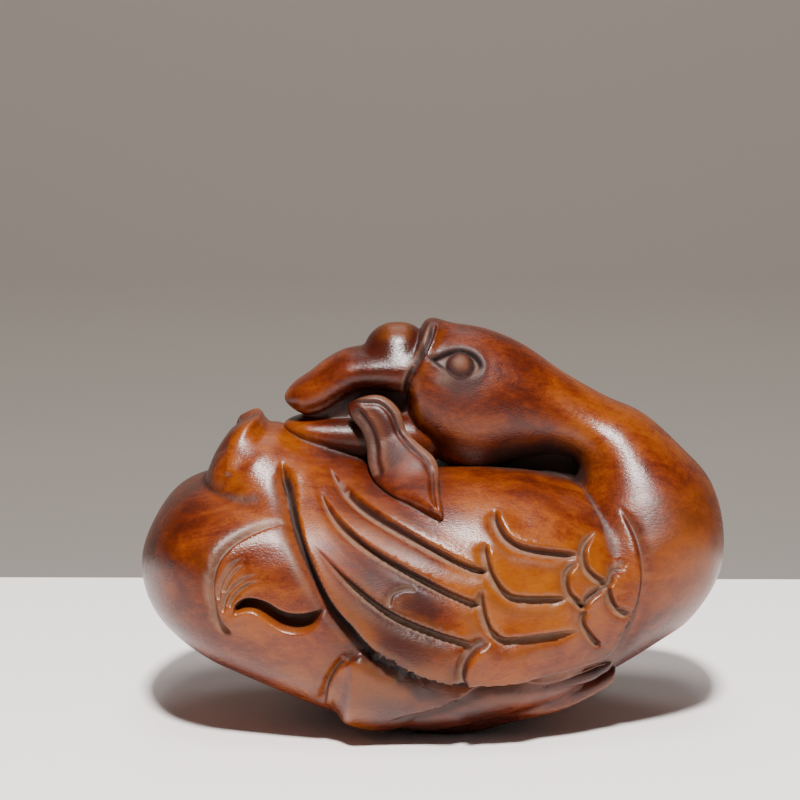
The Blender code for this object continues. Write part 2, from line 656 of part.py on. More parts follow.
def main():
    clear_scene()
    figure = bpy.data.collections.new("carved_goose")
    forms = bpy.data.collections.new("goose_forms")
    for collection in (figure, forms):
        bpy.context.scene.collection.children.link(collection)
    body = mesh_object("carved_goose", with_valley(loft(flat_rails(BODY), *BODY_GRID)))
    figure.objects.link(body)

    def form(name, rails, grid):
        shape = mesh_object(name, loft(rails, *grid))
        shape.hide_render = True
        shape.display_type = "WIRE"
        forms.objects.link(shape)
        return shape

    neck = form("neck", flat_rails(NECK), NECK_GRID)
    tail = form("tail", flat_rails(TAIL), TAIL_GRID)
    web = form("web", flat_rails(WEB), WEB_GRID)
    unite(body, [neck, tail, web])
    soften(body.data, SOFT_SPOTS, SOFT_ROUNDS)
    others = [
        form("upper_bill", flat_rails(UPPER_BILL), UPPER_BILL_GRID),
        form("lower_bill", flat_rails(LOWER_BILL), LOWER_BILL_GRID),
        form("mouth_floor", flat_rails(MOUTH_FLOOR), MOUTH_FLOOR_GRID),
        form("knob", flat_rails(KNOB), KNOB_GRID),
    ]
    for side in (1, -1):
        others.append(form("foot", drawn_rails(FOOT, side), FOOT_GRID))
        others.append(form("leg", drawn_rails(LEG, side), LEG_GRID))
    unite(body, others)
    soften(body.data, KNOB_SPOTS, KNOB_ROUNDS)
    carve(body.data)
    leaf = form("leaf", leaf_rails(body.data), LEAF_GRID)
    unite(body, [leaf])
    keep_outer_skin(body.data)
    thin_out(body, FACE_LIMIT)
    cut_flat(body.data)
    body.data.materials.clear()
    body.data.materials.append(wood_material())


main()
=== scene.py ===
"""Looks of the carved boxwood goose: its fine carving, the polished wood and the light it stands in.

The carving is one skin. Its forms are lofts on grids, joined, softened where one runs into the next, and
gouged along a drawing of the side. All lengths of the carving are in shares, sixtieths of its own length.
"""

import math

import bmesh
import bpy
import numpy as np
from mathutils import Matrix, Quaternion, Vector
from mathutils.bvhtree import BVHTree


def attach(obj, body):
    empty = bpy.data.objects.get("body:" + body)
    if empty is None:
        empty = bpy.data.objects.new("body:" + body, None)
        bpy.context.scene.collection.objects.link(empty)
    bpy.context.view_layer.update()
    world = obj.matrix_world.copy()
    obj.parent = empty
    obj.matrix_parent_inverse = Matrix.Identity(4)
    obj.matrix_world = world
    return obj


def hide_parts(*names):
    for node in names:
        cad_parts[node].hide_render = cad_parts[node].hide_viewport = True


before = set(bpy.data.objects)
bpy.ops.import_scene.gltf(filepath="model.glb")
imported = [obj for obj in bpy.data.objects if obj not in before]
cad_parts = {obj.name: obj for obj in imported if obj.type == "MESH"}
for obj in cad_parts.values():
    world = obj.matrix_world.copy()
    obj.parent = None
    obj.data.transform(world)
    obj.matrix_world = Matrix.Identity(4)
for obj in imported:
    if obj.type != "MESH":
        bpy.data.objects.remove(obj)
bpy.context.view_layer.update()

SHARE = 0.001  # metres in a sixtieth of the goose's length
CURVE_STEPS = 6  # straight steps between two points of a carved line

# The drawing of the sides is seen from this far away and this far above the level, in shares.
VIEW_DISTANCE = 300.0
VIEW_TILT = math.radians(12)
CENTRE_HEIGHT = 20.5

BARE_HALF_WIDTH = 1.5  # the carving starts this far from the middle plane and is whole after this rise
CARVING_RISE = 2.0

# Sections of each form: low x and z, high x and z, half the width across.
BODY = [
    (-30, 9, -30, 23, 12.8),
    (-26.2, 8.2, -26.2, 24.6, 14.4),
    (-21, 6, -21, 25.1, 15.6),
    (-16, 3.8, -16, 25.5, 16.4),
    (-11, 1.7, -11, 26.1, 17),
    (-5, -0.3, -5, 26.7, 17.5),
    (1, -0.7, 1, 26.9, 17.6),
    (7, 0.4, 7, 26.9, 17),
    (12.5, 2.1, 12.5, 26.2, 15.7),
    (17, 4.6, 17, 24.2, 13.9),
    (21, 7.4, 20.6, 20.4, 12),
    (24, 10, 23.6, 17.4, 9.6),
]
NECK = [
    (9.5, 7, 14.5, 3.9, 8),
    (9.5, 11, 19.8, 5.6, 11),
    (10, 14.5, 26.1, 9.9, 12.6),
    (11.2, 18, 29.6, 14.8, 13.2),
    (12.8, 21, 30.2, 19.6, 12.4),
    (13.6, 23.4, 28.9, 24.4, 10.5),
    (14.5, 25.2, 26, 27.8, 8.4),
    (14.6, 26.5, 22, 31.4, 6.6),
    (13.8, 27.4, 18, 33.3, 5.5),
    (11.4, 27.4, 13.6, 35.8, 5.3),
    (8.4, 26.6, 9.4, 38.7, 5.9),
    (5.2, 25.4, 5.6, 40.3, 6.5),
    (2.4, 25.8, 2.2, 40.9, 6.6),
    (-0.6, 28, -0.1, 41.4, 6.1),
    (-3.3, 31.4, -1.8, 40.3, 5.4),
]
UPPER_BILL = [
    (1, 33.8, 1, 39, 4.6),
    (-2.4, 33.7, -2.4, 38.9, 4.9),
    (-5.2, 34.1, -5.4, 38.7, 4.7),
    (-7.4, 34, -7.8, 38.5, 4.4),
    (-8.9, 33.2, -9.6, 37.9, 4.2),
    (-10.2, 32.3, -11.1, 37, 4),
    (-11.5, 31.7, -12.5, 35.9, 3.8),
    (-13, 31.5, -13.9, 35, 3.5),
    (-14.7, 31.8, -15.5, 34.2, 3.1),
]
LOWER_BILL = [
    (1, 26.6, 1, 33, 4.6), (-3, 26.4, -3, 32.2, 4.4), (-7, 26.8, -7, 31.9, 4.1),
    (-11, 27.6, -11, 31.6, 3.7), (-15.2, 29.3, -15.3, 31.3, 2.9),
]
MOUTH_FLOOR = [
    (0, 31, 0, 36, 2.6), (-5, 30, -5, 36.5, 2.4), (-10, 29.8, -10, 34.6, 2.2),
    (-13.4, 30, -13.4, 32.8, 1.8),
]
WEB = [
    (5, 22, 5, 29, 2.4), (10.5, 21, 10.5, 29.6, 2.2), (15.5, 18, 15.5, 28.4, 2.4),
    (20, 15, 20, 26, 3.4),
]
KNOB = [
    (-7.1, 34.3, -7.1, 40.9, 3.9), (-3.5, 34.3, -3.5, 41, 4), (0.1, 34.3, 0.1, 40.9, 3.9),
]
TAIL = [
    (-1, 19, -1, 25.6, 8),
    (-6, 16, -6, 27.4, 10.2),
    (-11.6, 14, -10.4, 28.6, 11),
    (-17.6, 15, -13.6, 29.6, 10.4),
    (-22, 19, -15.6, 30.3, 9.2),
    (-23.4, 23.6, -16.6, 30.4, 7.6),
    (-22.7, 26.6, -17.2, 31, 6.2),
    (-21.3, 29, -17.5, 31.5, 5),
    (-20.1, 30.3, -17.9, 31.7, 3.8),
]

# The head lies in a valley along the back: where it starts, deepens and ends, its depths and half width.
VALLEY_X = (-9, 2, 9, 19, 23)
VALLEY_DEPTHS = (0.0, 1.2, 2.2, 2.4, 0.0)
VALLEY_HALF_WIDTH = 4.5
VALLEY_START = 18.0  # the height from which the body is pressed in, and how far up it takes to be whole
VALLEY_RISE = 5.0

# Forms that are set on both sides: right and up in the drawing and y, for the low and the high rail, and
# half the depth.
FOOT = [
    (-11.4, -18.7, -11.2, -10.4, -15.4, -15.4, 3.6),
    (-9.3, -19.9, -9.6, -8.2, -13, -16.6, 4.1),
    (-5.4, -20.7, -8, -4.6, -12.8, -16.6, 4.1),
    (-1, -19.6, -9, -0.6, -13.6, -15.9, 3.8),
    (3, -18.3, -10.4, 3.2, -15.4, -15, 3.2),
    (7, -17.3, -11, 7.2, -15.8, -14.2, 2.5),
    (11, -17, -10.6, 11.2, -15.4, -13.4, 2.1),
    (15, -16.3, -9.8, 15.2, -14.6, -12.4, 1.8),
    (18.8, -15.2, -8.8, 19, -13.6, -10.8, 1.4),
]
LEG = [
    (-4, -20.8, -6, -3.6, -19.4, -8, 2.6),
    (3.4, -20.4, -6.4, 3, -18.6, -9.2, 2.9),
    (8, -19.6, -6.8, 7.2, -17.2, -9.6, 2.9),
    (12, -18.6, -7, 12.4, -16.4, -9.4, 2.8),
    (15.4, -17.2, -7.2, 16, -15.2, -9, 2.6),
    (18.8, -15.6, -7.4, 19, -13.9, -8.6, 2.2),
]

# The leaf: right and up of its left edge, right and up of its right edge, the y that it hangs at.
LEAF = [
    (-8.9, 11.4, -7.9, 12.4, -3.6),
    (-8.2, 10.2, -5.2, 12.7, -4.4),
    (-7.2, 8.8, -3.3, 11.2, -5),
    (-6.7, 6.9, -2.6, 9.1, -5.4),
    (-6.5, 5.3, -1.4, 7.8, -6.4),
    (-5.8, 3.7, 0.3, 6.2, -7.6),
    (-4.2, 2.4, 0.8, 4.6, -8.2),
    (-2.2, 1.5, 0.8, 2.8, -9.4),
    (-0.4, 0.5, 1.1, 0.9, -10.4),
    (0.9, -0.2, 1.3, 0, -11),
]
LEAF_HALF_THICKNESS = 1.0
LEAF_LIFT = 0.45

# Lines of the drawing, in shares right and up of its centre. The wood on the left hand of a line stands
# over the wood on its right hand.
WING_EDGE = [
    (-15.6, 6), (-15.2, 4.4), (-14.7, 2.9), (-13.5, -2.4), (-11, -8.1), (-8.7, -11), (-5.4, -14.4),
    (-0.8, -16.6), (3.4, -17.4), (8, -17.1), (12, -16.4),
]
SHOULDER_EDGE = [
    (7, -17.1), (10, -16.9), (12.5, -16.4), (15.8, -15.5), (18.7, -14.2), (20.3, -11.4), (21.6, -8.5),
    (21.9, -5.6), (21.2, -2), (19.4, 1.4),
]
TAIL_EDGE = [(-18.5, 11.4), (-20.3, 9.4), (-21.3, 6.9), (-21.5, 4.2)]
NICK = [(-1.4, -7.5), (-3, -7.5), (-4.1, -8.1), (-4.3, -9.2)]
PLUMES = [
    [(-12, 3.2), (-10, -0.1), (-5.9, -3.6), (0.8, -7.3), (5.4, -9.3)],
    [(-11.2, 5.7), (-9.2, 3.2), (-6.5, 0.8), (-1.7, -2.2), (3.4, -4.9), (6.1, -5.6)],
    [(-12.6, -2.7), (-8.7, -6.5), (-4.3, -9.9), (0.2, -11.9), (4.6, -13.2)],
]
COVERTS = [
    [(6.5, 1), (6.9, -0.6), (8, -2.2), (10.2, -3.2), (15.8, -3.9)],
    [(5.6, -2.4), (5.7, -3.9), (6.3, -5.9), (7.5, -7.6), (9.3, -8.3), (14.7, -8.3)],
    [(5.1, -7.1), (5.3, -8.9), (5.7, -10.7), (6.5, -12), (8.4, -12.6), (15.8, -11.6)],
    [(6.3, -12.9), (4.8, -13.4), (3.6, -14.7), (3.2, -16.1), (3.6, -17.3)],
]
SCALES = [
    [(17.1, -1.1), (16, -2.8), (15.9, -3.9), (16.3, -5.3), (17.4, -6.3), (18.4, -6.6)],
    [(15.6, -4.4), (14.4, -5.3), (14.1, -6.6), (14.4, -7.8), (15.2, -8.6), (16.1, -9.6)],
    [(20.3, -4.4), (19, -5.5), (18.4, -6.9), (16.5, -8.3), (15.8, -9.6)],
    [(18.4, -6.9), (18.6, -8.2), (19.2, -9.3), (20.6, -10)],
    [(16.1, -9.3), (15.8, -10.7), (16.3, -11.8), (17.6, -13.3)],
]
TUFT_EDGE = [
    (-13.9, -0.2), (-16.6, -0.9), (-18.9, -1.8), (-20.7, -2.9), (-22, -4.5), (-22.6, -6.5),
    (-22.5, -8.7), (-21.8, -10.8), (-20.5, -12.2),
]
TUFT_STROKES = [
    [(-19.1, -3.9), (-20.7, -5.2), (-21.7, -7), (-21.9, -8.5)],
    [(-17.5, -5.7), (-19.7, -6.7), (-21.1, -8.1), (-21.5, -9.8)],
    [(-19.3, -4.9), (-20.6, -6), (-21.5, -7.8)],
    [(-17.6, -6.5), (-19.2, -7.2), (-20.3, -8.2), (-20.9, -9.3)],
]
FOOT_EDGE = [(-6.9, -14), (-8.1, -14.4), (-9.3, -15.1), (-10.3, -16.4), (-10.9, -17.8), (-11.1, -19.4)]
LOBE_EDGE = [
    (-4.8, -21.2), (-1.6, -20.4), (0.9, -19.8), (2.8, -19.1), (4.9, -18.2), (7, -17.7), (10.4, -17.6),
    (13.3, -17.2), (16.5, -16), (18.6, -15),
]
HOLLOW_TOP = [
    (-20.6, -10.2), (-20.3, -9), (-19, -8.3), (-17.1, -8.7), (-15.3, -9.7), (-13.3, -9.9), (-10.7, -9.3),
]
HOLLOW_LOW = [
    (-20.6, -10.2), (-18.6, -10), (-16.8, -11.2), (-15.3, -12), (-13.7, -12.2), (-12, -11.5),
    (-10.7, -9.3),
]
COLLAR = [(0.4, 20.9), (0.2, 19.5), (-0.3, 18.1), (-1.1, 16.5), (-1.9, 15.2), (-2.3, 14.2), (-2.6, 12.6)]
EYE = [
    (-0.2, 16.5), (0.9, 17), (1.9, 17.4), (3, 17.6), (4.2, 17.3), (5, 16.6), (5.3, 15.8),
    (5, 15.1), (4.3, 14.6), (3.1, 14.4), (2, 14.8), (1, 15.6), (-0.2, 16.5),
]
EYE_CENTRE = (3.0, 15.9)
EYE_RADIUS = 1.45
SOCKET_DEPTH = 0.55
HOLLOW_DEPTH = 2.0
HOLLOW_WALL = 0.35  # how far the hollow's steep upper side runs, and below it the easier lower side
HOLLOW_SLOPE = 1.1
RIM_WIDTH = 0.3  # of the socket's edge under the upper lid, and along the lower lid
LOW_RIM_WIDTH = 0.65
LID_TURN = 0.8  # height over which the lower lid turns into the upper one
BALL_FULLNESS = 0.75  # height of the eye's ball over its radius
BALL_SINK = 0.1  # how far its middle lies under the socket's floor

# A cut: depth at its line, width of its steep left side, width of its easy right side, rise of the wood
# that stands over it and how far that rise runs back.
WING_CUT = (1.15, 0.5, 1.7, 0.9, 6.0)
SHOULDER_CUT = (0.5, 0.4, 1.2, 0.2, 2.4)
TAIL_CUT = (0.45, 0.35, 1.5, 0.4, 1.8)
PLUME_CUT = (0.75, 0.45, 1.5, 0.35, 2.6)
SCALE_CUT = (0.6, 0.42, 0.95, 0.16, 1.3)
TUFT_CUT = (0.5, 0.4, 1.0, 0.45, 3.2)
STROKE_CUT = (0.35, 0.25, 0.6, 0.05, 0.8)
FOOT_CUT = (0.7, 0.4, 1.2, 0.2, 1.6)
LOBE_CUT = (0.55, 0.35, 1.3, 0.2, 1.6)
COLLAR_CUT = (0.4, 0.4, 0.8, 0.35, 1.3)
LID_CUT = (0.0, 0.3, 0.3, 0.1, 0.9)
# Shares of a line's length over which it fades at its start and at its end.
SHORT_TAPERS = (0.16, 0.08)
LONG_TAPERS = (0.35, 0.06)
NO_TAPERS = (0.001, 0.001)
POINTED = 0.35  # share of its width that a cut keeps at its very end
CAP_DENSITY = 1.25  # rings on a rounded end, over those on as long a stretch of the middle
FEWEST_CAP_RINGS = 5
HEAD_LEVEL = 12.3  # lines of the head are above this in the drawing, those of the body below

# The leaf's own carving: a rim along its right edge, and its left side that turns away under a fold.
LEAF_RIM = [
    (-8.6, 12), (-7, 12), (-5.4, 11.9), (-4.2, 10.8), (-3.4, 8.9), (-2.2, 7.4), (-0.6, 6),
    (0.1, 4.4), (0.2, 2.6), (0.6, 0.6),
]
LEAF_FOLD = [(-8.1, 11.5), (-7.2, 10.6), (-6.3, 9.2), (-5.8, 7.6), (-5.7, 5.8), (-5.2, 4.2)]
LEAF_RIM_CUT = (0.34, 0.3, 0.6, 0.12, 0.8)
LEAF_FOLD_CUT = (0.3, 0.4, 1.1, 0.1, 1.0)

# Each carved line with its cut, its tapers, how much dust gathers in it and how much painted shade lies
# along it, and the distances from the line between which the dust lies.
LEAF_LINES = [
    (LEAF_RIM, LEAF_RIM_CUT, SHORT_TAPERS, 0.5, 0.75, -0.9, -0.3),
    (LEAF_FOLD, LEAF_FOLD_CUT, SHORT_TAPERS, 0.25, 0.5, 0.1, 1.3),
]
NARROW_DUST = (0.06, 0.6)
BODY_LINES = [
    (WING_EDGE, WING_CUT, SHORT_TAPERS, 0.15, 1.0, 0.5, 1.5),
    (SHOULDER_EDGE, SHOULDER_CUT, SHORT_TAPERS, 0.3, 0.5, 0.0, 0.6),
    (TUFT_EDGE, TUFT_CUT, SHORT_TAPERS, 0.7, 0.45, 0.0, 0.8),
    (TAIL_EDGE, TAIL_CUT, SHORT_TAPERS, 0.0, 0.0, 0.0, 0.5),
    (NICK, STROKE_CUT, SHORT_TAPERS, 0.8, 0.5, 0.0, 0.4),
    (FOOT_EDGE, FOOT_CUT, SHORT_TAPERS, 0.0, 0.9, 0.0, 0.5),
    (LOBE_EDGE, LOBE_CUT, SHORT_TAPERS, 0.0, 0.6, 0.7, 0.8),
]
BODY_LINES += [(line, PLUME_CUT, LONG_TAPERS, 1.0, 0.85, *NARROW_DUST) for line in PLUMES]
BODY_LINES += [(line, PLUME_CUT, SHORT_TAPERS, 1.0, 0.85, *NARROW_DUST) for line in COVERTS]
BODY_LINES += [(line, SCALE_CUT, SHORT_TAPERS, 1.0, 0.85, *NARROW_DUST) for line in SCALES]
BODY_LINES += [(line, STROKE_CUT, LONG_TAPERS, 0.8, 0.6, 0.0, 0.35) for line in TUFT_STROKES]
HEAD_LINES = [(COLLAR, COLLAR_CUT, SHORT_TAPERS, 0.6, 0.8, 0.5, 0.75)]
TRACE_REACH = 2.6  # no dust or shade lies further from its line than this
FINE_REACHES = (1.1, 0.55)  # the skin is halved within the first reach of a line, and again within the second
HOLLOW_SHADE = 0.85  # in the hollow under the tuft, and the width over which it begins at the lower rim
HOLLOW_SHADE_RUN = 1.2
LEAF_TURN = 0.3  # how far the leaf's skin has to face outwards to take the whole carving
RING_DUST = 0.6  # dust in the eye's socket, and in the patch below its front corner
TEAR_DUST = 0.55
TEAR_CENTRE = (1.2, 14.6)  # the dusty patch below the eye's front corner, and its reach each way
TEAR_REACH = (1.6, 1.1)
LID_SHADE = 0.6  # how far the shade of the eye's lids reaches, inside the socket and outside
BROW_SHADE = 0.65
BALL_SHADE = 0.35
GAP_SHADE = 0.8  # shade in the gap round the ball, and the gap's half width
GAP_WIDTH = 0.25


def ease(amount):
    """A smooth step: 3a^2 - 2a^3, with the amount held between 0 and 1."""
    amount = np.clip(amount, 0.0, 1.0)
    return amount * amount * (3.0 - 2.0 * amount)


def smooth_rows(rows, at):
    """Catmull-Rom curve through the rows; at runs from 0 at the first row to 1 at the last."""
    rows = np.asarray(rows, float)
    padded = np.vstack([2 * rows[0] - rows[1], rows, 2 * rows[-1] - rows[-2]])
    along = np.clip(at, 0.0, 1.0) * (len(rows) - 1)
    first = np.minimum(along.astype(int), len(rows) - 2)
    t = (along - first)[:, None]
    a, b, c, d = (padded[first + step] for step in range(4))
    return 0.5 * (
        2 * b + (c - a) * t + (2 * a - 5 * b + 4 * c - d) * t**2 + (3 * b - a - 3 * c + d) * t**3
    )


def ring_places(rings, start_cap, end_cap):
    """Places along a form: even along its middle, and by equal turns over each rounded end."""
    start = max(FEWEST_CAP_RINGS, round(rings * start_cap * CAP_DENSITY))
    end = max(FEWEST_CAP_RINGS, round(rings * end_cap * CAP_DENSITY))
    first = start_cap * (1 - np.cos(np.linspace(0, math.pi / 2, start, endpoint=False)))
    last = 1 - end_cap * (1 - np.cos(np.linspace(0, math.pi / 2, end, endpoint=False)))
    middle = np.linspace(start_cap, 1 - end_cap, max(2, rings - start - end))
    return np.concatenate([first, middle, last[::-1]])


def even_turns(around, power):
    """Angles of points that lie evenly round the curve |cos a|^power, |sin a|^power."""
    turn = np.linspace(0.0, 2 * math.pi, 64 * around + 1)
    steps = np.hypot(np.diff(raised(np.cos(turn), power)), np.diff(raised(np.sin(turn), power)))
    length = np.concatenate([[0.0], np.cumsum(steps)])
    return np.interp(np.arange(around) * length[-1] / around, length, turn)


def raised(amount, power):
    """The amount's size to a power, with its sign kept."""
    return np.sign(amount) * np.abs(amount) ** power


def loft(rails, rings, around, start_cap, end_cap, fullness=2.0):
    """A closed form between two rails, as a grid of rings x around points.

    A row of the rails is a low point, a high point and half the width. A ring is the middle of its section,
    plus half the section times cos a, plus the half width times sin a along the direction across, and both
    are raised to the power 2 / fullness. Both ends close as a quarter of an ellipse.
    """
    at = ring_places(rings, start_cap, end_cap)
    rows = smooth_rows(rails, at)
    low, high, width = rows[:, 0:3], rows[:, 3:6], rows[:, 6:7]
    middle, half = (low + high) / 2.0, (high - low) / 2.0
    ahead = smooth_rows(rails, np.minimum(at + 0.01, 1.0)) - smooth_rows(rails, np.maximum(at - 0.01, 0.0))
    across = np.cross((ahead[:, 0:3] + ahead[:, 3:6]) / 2.0, half)
    across /= np.linalg.norm(across, axis=1, keepdims=True)
    ends = np.minimum(np.minimum(at / start_cap, (1.0 - at) / end_cap), 1.0)
    size = np.sqrt(np.clip(1.0 - (1.0 - ends) ** 2, 0.0, 1.0))[:, None]
    power = 2.0 / fullness
    angle = even_turns(around, power)
    up, out = raised(np.cos(angle), power), raised(np.sin(angle), power)
    half, sideways = half * size, across * width * size
    return middle[:, None] + half[:, None] * up[None, :, None] + sideways[:, None] * out[None, :, None]


def flat_rails(rows):
    """Sections on the middle plane as rows of low point, high point and half width, each point x, y, z."""
    return [(x0, 0.0, z0, x1, 0.0, z1, width) for x0, z0, x1, z1, width in rows]


def drawing(points):
    """Where points fall in the drawing of the side: right and up of its centre, in shares.

    The far side takes the same drawing, mirrored, so y is read as its distance from the middle plane.
    """
    near = -np.abs(points[..., 1])
    height = points[..., 2] - CENTRE_HEIGHT
    c, s = math.cos(VIEW_TILT), math.sin(VIEW_TILT)
    depth = VIEW_DISTANCE + near * c - height * s
    right = VIEW_DISTANCE * points[..., 0] / depth
    up = VIEW_DISTANCE * (near * s + height * c) / depth
    return np.stack([right, up], axis=-1)


def place(right, up, y):
    """The point at depth y that falls on this place of the drawing."""
    c, s = math.cos(VIEW_TILT), math.sin(VIEW_TILT)
    height = (up * (VIEW_DISTANCE + y * c) - VIEW_DISTANCE * y * s) / (VIEW_DISTANCE * c + up * s)
    depth = VIEW_DISTANCE + y * c - height * s
    return (right * depth / VIEW_DISTANCE, y, CENTRE_HEIGHT + height)


def drawing_eye():
    """The point that the drawing is seen from, in metres."""
    c, s = math.cos(VIEW_TILT), math.sin(VIEW_TILT)
    return Vector((0.0, -VIEW_DISTANCE * c, CENTRE_HEIGHT + VIEW_DISTANCE * s)) * SHARE


def drawn_rails(rows, side):
    """Rails for a form that is given in the drawing, on the near side (1) or mirrored on the far one (-1)."""
    rails = []
    for right0, up0, y0, right1, up1, y1, half_depth in rows:
        low = place(right0, up0, y0)
        high = place(right1, up1, y1)
        rails.append((low[0], side * y0, low[2], high[0], side * y1, high[2], half_depth))
    return rails


def with_valley(grid):
    """The body's grid with the valley for the head pressed into its upper half."""
    x, y, z = grid[..., 0], grid[..., 1], grid[..., 2]
    depth = np.interp(x, VALLEY_X, VALLEY_DEPTHS)
    across = 1.0 - ease(np.abs(y) / VALLEY_HALF_WIDTH)
    upper = ease((z - VALLEY_START) / VALLEY_RISE)
    pressed = grid.copy()
    pressed[..., 2] -= depth * across * upper
    return pressed


def curve_of(line):
    """The points of a line's smooth curve."""
    return smooth_rows(line, np.linspace(0.0, 1.0, (len(line) - 1) * CURVE_STEPS + 1))


def line_measure(places, line):
    """For each place of the drawing: distance to the line, on which hand it is, and how far along."""
    curve = curve_of(line)
    steps = len(curve) - 1
    best = np.full(len(places), np.inf)
    hand = np.zeros(len(places))
    along = np.zeros(len(places))
    for index in range(steps):
        start = curve[index]
        run = curve[index + 1] - start
        offset = places - start
        share = np.clip(offset @ run / (run @ run), 0.0, 1.0)
        away = np.hypot(*(offset - share[:, None] * run).T)
        closer = away < best
        best[closer] = away[closer]
        hand[closer] = (run[0] * offset[:, 1] - run[1] * offset[:, 0])[closer]
        along[closer] = (index + share[closer]) / steps
    return best, np.sign(hand), along


def cut_relief(places, line, cut, tapers):
    """Relief of one gouged line: steep on its left hand, easy on its right, narrow and low at its ends."""
    depth, steep, easy, rise, reach = cut
    away, hand, along = line_measure(places, line)
    over = hand > 0
    fade = ease(along / tapers[0]) * ease((1.0 - along) / tapers[1])
    width = POINTED + (1.0 - POINTED) * fade
    slope = np.where(over, ease(1.0 - away / (steep * width)), ease(1.0 - away / (easy * width)) ** 1.3)
    back = np.where(over, ease(away / steep) * (1.0 - ease(away / reach)), 0.0)
    return (rise * back - depth * slope) * fade


def inside(places, outline):
    """Whether each place of the drawing is inside the closed outline, by counting crossed edges."""
    crossed = np.zeros(len(places), bool)
    for (x0, y0), (x1, y1) in zip(outline, np.roll(outline, -1, axis=0)):
        spans = (places[:, 1] < y0) != (places[:, 1] < y1)
        if y0 != y1:
            crossed ^= spans & (places[:, 0] < x0 + (places[:, 1] - y0) * (x1 - x0) / (y1 - y0))
    return crossed


def in_hollow(places):
    """Whether each place is inside the hollow under the tuft."""
    return inside(places, np.vstack([curve_of(HOLLOW_TOP), curve_of(HOLLOW_LOW)[::-1]]))


def lines_relief(places, lines):
    """The sum of the reliefs of a set of gouged lines."""
    return sum(cut_relief(places, *row[:3]) for row in lines)


def body_relief(places):
    """Height of the carving over the plain skin of the body: its gouged lines and the hollow."""
    top = line_measure(places, HOLLOW_TOP)[0]
    low = line_measure(places, HOLLOW_LOW)[0]
    bowl = ease(top / HOLLOW_WALL) * ease(low / HOLLOW_SLOPE)
    return lines_relief(places, BODY_LINES) - HOLLOW_DEPTH * np.where(in_hollow(places), bowl, 0.0)


def eye_measure(places):
    """Whether a place is in the socket, how far from the ball's middle and from the rim, and its lid.

    The lid goes from 0 along the lower one to 1 along the upper one.
    """
    away = np.hypot(*(places - EYE_CENTRE).T)
    upper = ease((places[:, 1] - EYE_CENTRE[1] + LID_TURN) / LID_TURN)
    return inside(places, curve_of(EYE)), away, line_measure(places, EYE)[0], upper


def head_relief(places):
    """Height of the carving over the plain skin of the head: the collar, the eye and its lids."""
    lids = cut_relief(places, EYE, LID_CUT, NO_TAPERS)
    within, away, rim, upper = eye_measure(places)
    width = RIM_WIDTH + (1.0 - upper) * (LOW_RIM_WIDTH - RIM_WIDTH)
    socket = np.where(within, -SOCKET_DEPTH * ease(rim / width), lids)
    ball = BALL_FULLNESS * np.sqrt(np.clip(EYE_RADIUS**2 - away**2, 0.0, None)) - SOCKET_DEPTH - BALL_SINK
    eye = np.where(away < EYE_RADIUS, np.maximum(socket, ball), socket)
    return lines_relief(places, HEAD_LINES) + eye


def grid_mesh(name, grid):
    """A closed mesh of a loft's grid, in metres: one pole for each end ring and a quad for each cell."""
    rings, around = grid.shape[:2]
    points = np.vstack([grid[0].mean(axis=0), grid[1:-1].reshape(-1, 3), grid[-1].mean(axis=0)]) * SHARE
    ring = np.arange(around)
    following = (ring + 1) % around
    base = 1 + np.arange(rings - 3)[:, None] * around
    corners = [base + ring, base + around + ring, base + around + following, base + following]
    cells = np.stack(corners, axis=-1)
    last_ring = 1 + (rings - 3) * around
    first = np.stack([np.zeros_like(ring), 1 + ring, 1 + following], axis=-1)
    last = np.stack([np.full_like(ring, len(points) - 1), last_ring + following, last_ring + ring], axis=-1)
    loops = np.concatenate([first.ravel(), cells.reshape(-1), last.ravel()])
    sizes = np.concatenate([np.full(around, 3), np.full(cells.size // 4, 4), np.full(around, 3)])
    mesh = bpy.data.meshes.new(name)
    mesh.vertices.add(len(points))
    mesh.vertices.foreach_set("co", points.ravel())
    mesh.loops.add(len(loops))
    mesh.loops.foreach_set("vertex_index", loops)
    mesh.polygons.add(len(sizes))
    mesh.polygons.foreach_set("loop_start", np.concatenate([[0], np.cumsum(sizes)[:-1]]))
    mesh.update(calc_edges=True)
    mesh.validate()
    middle = grid.mean(axis=1)[rings // 2] * SHARE
    normals = read(mesh.vertices, "normal", 3)
    around_middle = slice(1 + (rings // 2 - 1) * around, 1 + (rings // 2) * around)
    if ((points[around_middle] - middle) * normals[around_middle]).sum() < 0:
        mesh.flip_normals()
    write_value(mesh, "whole", np.ones(len(points)))
    piece = bpy.data.objects.new(name, mesh)
    bpy.context.scene.collection.objects.link(piece)
    return piece


def read(items, name, width):
    """A vector property of all items as one array."""
    flat = np.empty(len(items) * width)
    items.foreach_get(name, flat)
    return flat.reshape(-1, width)


def read_points(mesh):
    """The points in shares."""
    return read(mesh.vertices, "co", 3) / SHARE


def write_points(mesh, points):
    """Moves the points to places in metres."""
    mesh.vertices.foreach_set("co", points.ravel())
    mesh.update()


def write_value(mesh, name, values):
    """Keeps one number for each point under a name."""
    layer = mesh.attributes.get(name) or mesh.attributes.new(name, "FLOAT", "POINT")
    layer.data.foreach_set("value", values.astype(np.float32))


def read_value(mesh, name):
    """The numbers kept for the points under a name."""
    values = np.empty(len(mesh.vertices), np.float32)
    mesh.attributes[name].data.foreach_get("value", values)
    return values.astype(float)


def join(base, others):
    """One skin around the base and the other forms, which are used up."""
    for other in others:
        joint = base.modifiers.new(other.name, "BOOLEAN")
        joint.operation = "UNION"
        joint.solver = "MANIFOLD"
        joint.object = other
    bpy.context.view_layer.update()
    graph = bpy.context.evaluated_depsgraph_get()
    mesh = bpy.data.meshes.new_from_object(
        base.evaluated_get(graph), preserve_all_data_layers=True, depsgraph=graph
    )
    base.modifiers.clear()
    base.data = mesh
    for other in others:
        bpy.data.objects.remove(other)


